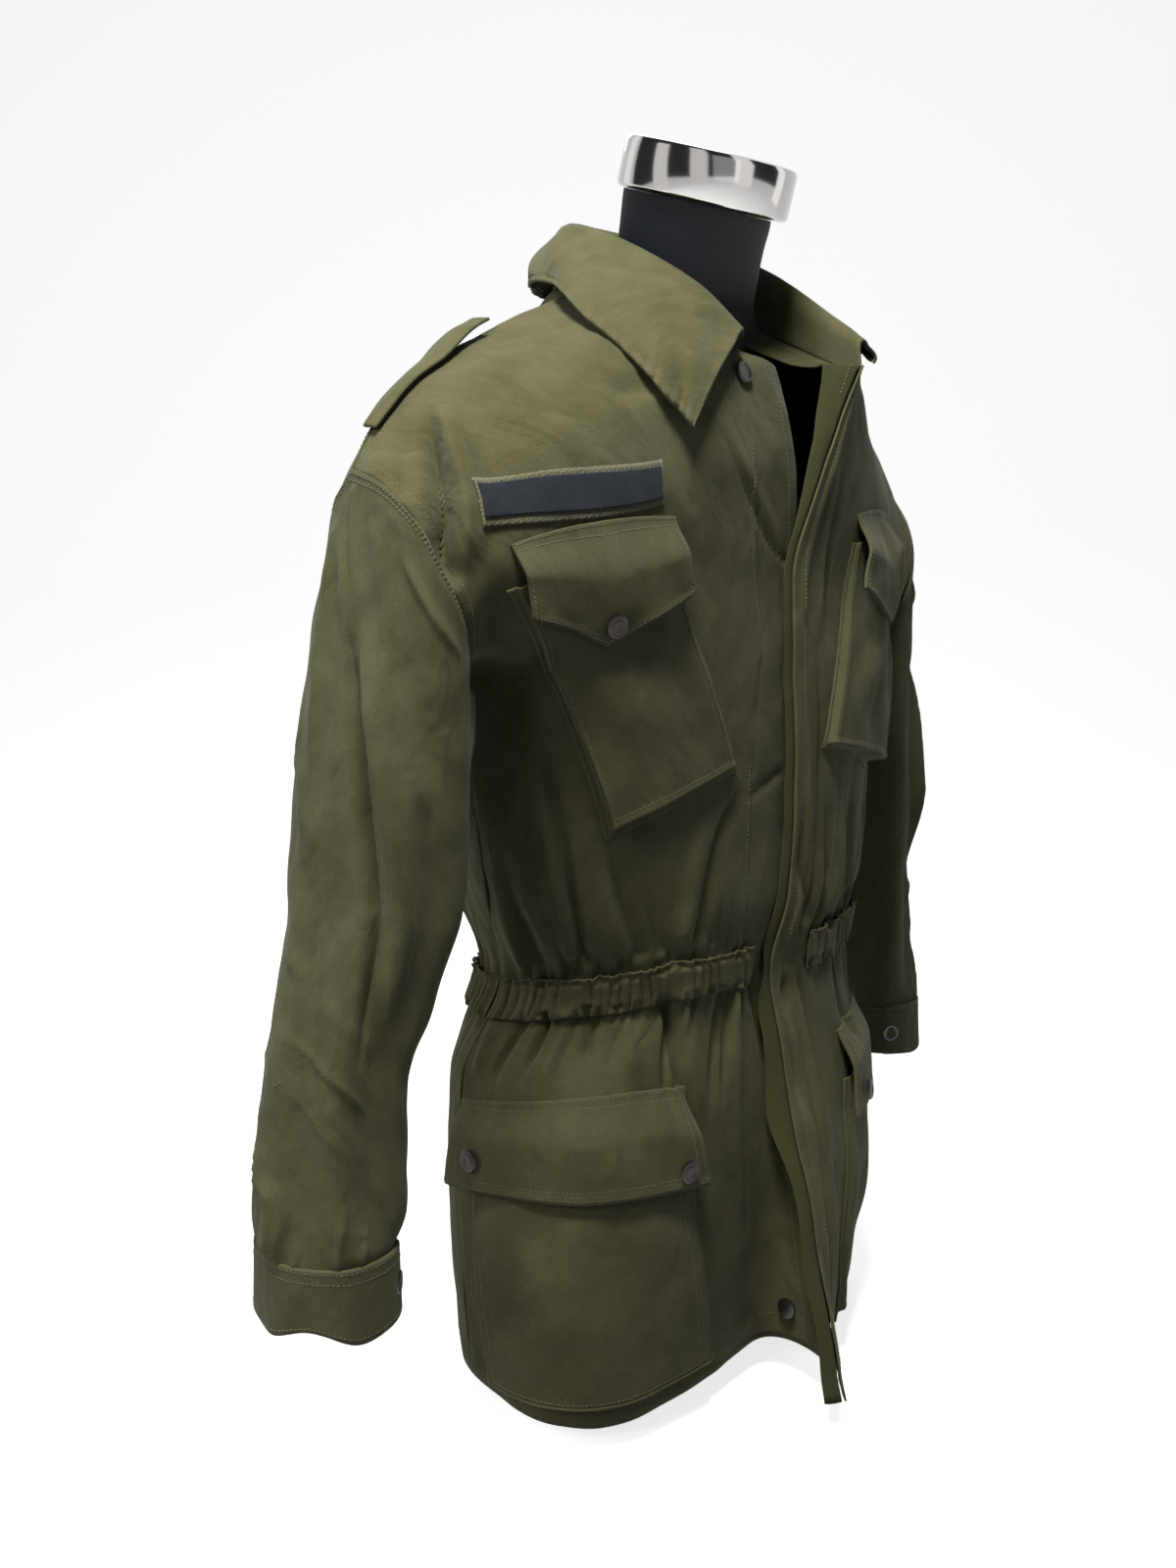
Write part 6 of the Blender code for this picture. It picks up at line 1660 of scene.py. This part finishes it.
form = {
    "rings": (
        # height, half width, half depth, centre y
        (0.000, 0.122, 0.050, 0.010), (0.004, 0.127, 0.054, 0.010), (0.050, 0.138, 0.062, 0.010),
        (0.120, 0.146, 0.074, 0.008), (0.200, 0.146, 0.078, 0.006), (0.300, 0.124, 0.072, 0.004),
        (0.400, 0.142, 0.084, 0.006), (0.500, 0.164, 0.092, 0.012), (0.580, 0.180, 0.090, 0.016),
        (0.640, 0.172, 0.072, 0.014), (0.680, 0.162, 0.058, 0.013), (0.703, 0.148, 0.048, 0.012),
        (0.7200, 0.132, 0.043, 0.011), (0.7350, 0.111, 0.042, 0.009), (0.7522, 0.092, 0.043, 0.006),
        (0.7612, 0.071, 0.045, 0.000), (0.780, 0.058, 0.050, -0.006), (0.800, 0.053, 0.050, -0.013),
        (0.8262, 0.052, 0.050, -0.018),
    ),
    "neckFrom": 0.795,           # height from which the neck's rings tilt like the cap
    "neckOver": 0.03,
    "capRadius": 0.060,
    "capHeight": 0.034,
    "capTilt": 16.0,             # degrees
    "capCentre": (0.0, -0.026, 0.842),
    # what three places round the cap's top and three round its foot lack of its radius and of its
    # half height, upwards or downwards
    "capRim": ((0.004, 0.0), (0.0015, 0.0008), (0.0, 0.004), (0.0, -0.003), (0.001, -0.001), (0.003, 0.0)),
}


def makeForm():
    # Ellipses between the form's rings, closed at the foot and under the cap.
    table = np.array(form["rings"])
    turn = np.linspace(0.0, 2 * math.pi, 96, endpoint=False)
    rows = along(table, np.linspace(0.0, len(table) - 1.0, 110))
    points = np.stack([rows[:, 1:2] * np.cos(turn), rows[:, 3:4] + rows[:, 2:3] * np.sin(turn),
                       np.broadcast_to(rows[:, :1], (len(rows), len(turn)))], axis=-1)
    lean = points[..., 1] - rows[:, 3:4]
    tip = ease((rows[:, :1] - form["neckFrom"]) / form["neckOver"])
    points[..., 2] += lean * math.tan(math.radians(form["capTilt"])) * tip
    mesh = gridMesh("formBody", points, closed=True)
    faceOutwards(mesh, fill=True)
    mesh.set_sharp_from_angle(angle=math.radians(50.0))
    place("formBody", mesh, formBlack, "form_black", ["form_torso"])

    radius, half = form["capRadius"], form["capHeight"] / 2
    rim = np.array(form["capRim"])
    ends = np.repeat((half, -half), len(rim) // 2)
    profile = np.stack([radius - rim[:, 0], ends - rim[:, 1]], axis=-1)
    cap = turnedMesh("neckCap", np.concatenate([[(0.0, half)], profile, [(0.0, -half)]]), 128)
    tilt = Matrix.Rotation(math.radians(form["capTilt"]), 4, "X")
    cap.transform(Matrix.Translation(form["capCentre"]) @ tilt)
    place("neckCap", cap, chrome, "chrome", ["neck_cap"])


makeForm()
print("form made")

for stitched in sorted(stitchStore):
    makeStitches(stitched, thread)


studio = {
    "lamps": (
        # name, place, side, power
        ("key", (-0.55, -0.30, 1.70), 0.36, 29.0),
        ("side", (-2.2, -0.15, 1.45), 0.5, 10.5),
        ("fill", (-1.3, -2.3, 1.0), 1.6, 2.9),
        ("rim", (-1.9, 1.3, 1.4), 1.0, 20.0),
        ("back", (1.4, 1.5, 2.2), 1.4, 13.0),
    ),
    "cards": (            # turn from the line of sight, width, strength
        (-128.0, 0.9, 1.3),
        (-66.0, 1.1, 1.0),
        (-14.0, 1.2, 0.9),
        (44.0, 1.3, 1.2),
        (104.0, 0.8, 1.5),
    ),
    "cardFar": 3.0,
    "cardReach": (-0.5, 3.2),   # heights of a card's foot and top
    "glossyFrom": 1.2,          # only lamps wider than this show in bright metal
    "sky": 0.036,
    "glow": 0.78,               # the backdrop's own light, which the object doesn't receive
    "target": (0.0, 0.0, 0.45),
    "sweepRadius": 1.2,         # the floor curves up into a wall this wide
    "sweepBack": 2.6,
}


def makeLight(name, spot, size, power):
    # A square lamp of the given side that faces the target.
    data = bpy.data.lights.new(name, "AREA")
    data.size = size
    data.energy = power
    item = bpy.data.objects.new(name, data)
    item.location = spot
    aim = Vector(studio["target"]) - Vector(spot)
    item.rotation_euler = aim.to_track_quat("-Z", "Y").to_euler()
    item.visible_glossy = size > studio["glossyFrom"]
    collection.objects.link(item)


def stagePiece(name, points, colour, roughness, light, power):
    # A surface of the studio that shines with its own light and doesn't light the object.
    item = bpy.data.objects.new(name, gridMesh(name, points))
    collection.objects.link(item)
    finish = makePlainMaterial(name, colour, roughness)
    shader = finish.node_tree.nodes["Principled BSDF"]
    shader.inputs["Emission Color"].default_value = (*light, 1.0)
    shader.inputs["Emission Strength"].default_value = power
    item.data.materials.append(finish)
    item.visible_diffuse = False
    return item


def makeSweep():
    # A floor that curves up behind the object: flat, then a quarter circle, then upright.
    back, radius = studio["sweepBack"], studio["sweepRadius"]
    turn = np.linspace(0.0, math.pi / 2, 24)
    depth = np.concatenate([[-6.0], back + radius * np.sin(turn), [back + radius]])
    height = np.concatenate([[0.0], radius * (1 - np.cos(turn)), [7.0]])
    heading = math.radians(lens["heading"])
    away = np.array((math.sin(heading), math.cos(heading)))
    side = np.array((away[1], -away[0]))
    wide = np.linspace(-9.0, 9.0, 3)
    points = np.empty((len(depth), len(wide), 3))
    points[..., :2] = depth[:, None, None] * away + wide[None, :, None] * side
    points[..., 2] = height[:, None]
    stagePiece("floor", points, looks["floor"], 0.9, (1.0, 1.0, 1.0), studio["glow"])


def makeCards():
    # Upright strips in a ring round the object, which only bright metal shows.
    facing = math.radians(lens["heading"]) + math.pi
    for number, (turn, wide, power) in enumerate(studio["cards"]):
        spot = facing - math.radians(turn)
        out = np.array((math.sin(spot), math.cos(spot)))
        side = np.array((-out[1], out[0])) * wide / 2
        points = np.empty((2, 2, 3))
        points[..., :2] = studio["cardFar"] * out + np.array((-side, side))[:, None]
        points[..., 2] = studio["cardReach"]
        card = stagePiece("card%d" % number, points, (0.0, 0.0, 0.0), 1.0, (1.0, 0.98, 0.96), power)
        card.visible_camera = False
        card.visible_shadow = False


def makeStudio():
    # The lamps, a faint even sky, the floor and the cards.
    for lamp in studio["lamps"]:
        makeLight(*lamp)
    world = bpy.data.worlds.new("studio")
    world.use_nodes = True
    world.node_tree.nodes["Background"].inputs["Color"].default_value = (1.0, 1.0, 1.0, 1.0)
    world.node_tree.nodes["Background"].inputs["Strength"].default_value = studio["sky"]
    bpy.context.scene.world = world
    bpy.context.scene.view_settings.view_transform = "Standard"
    makeSweep()
    makeCards()


makeStudio()
print("studio made")
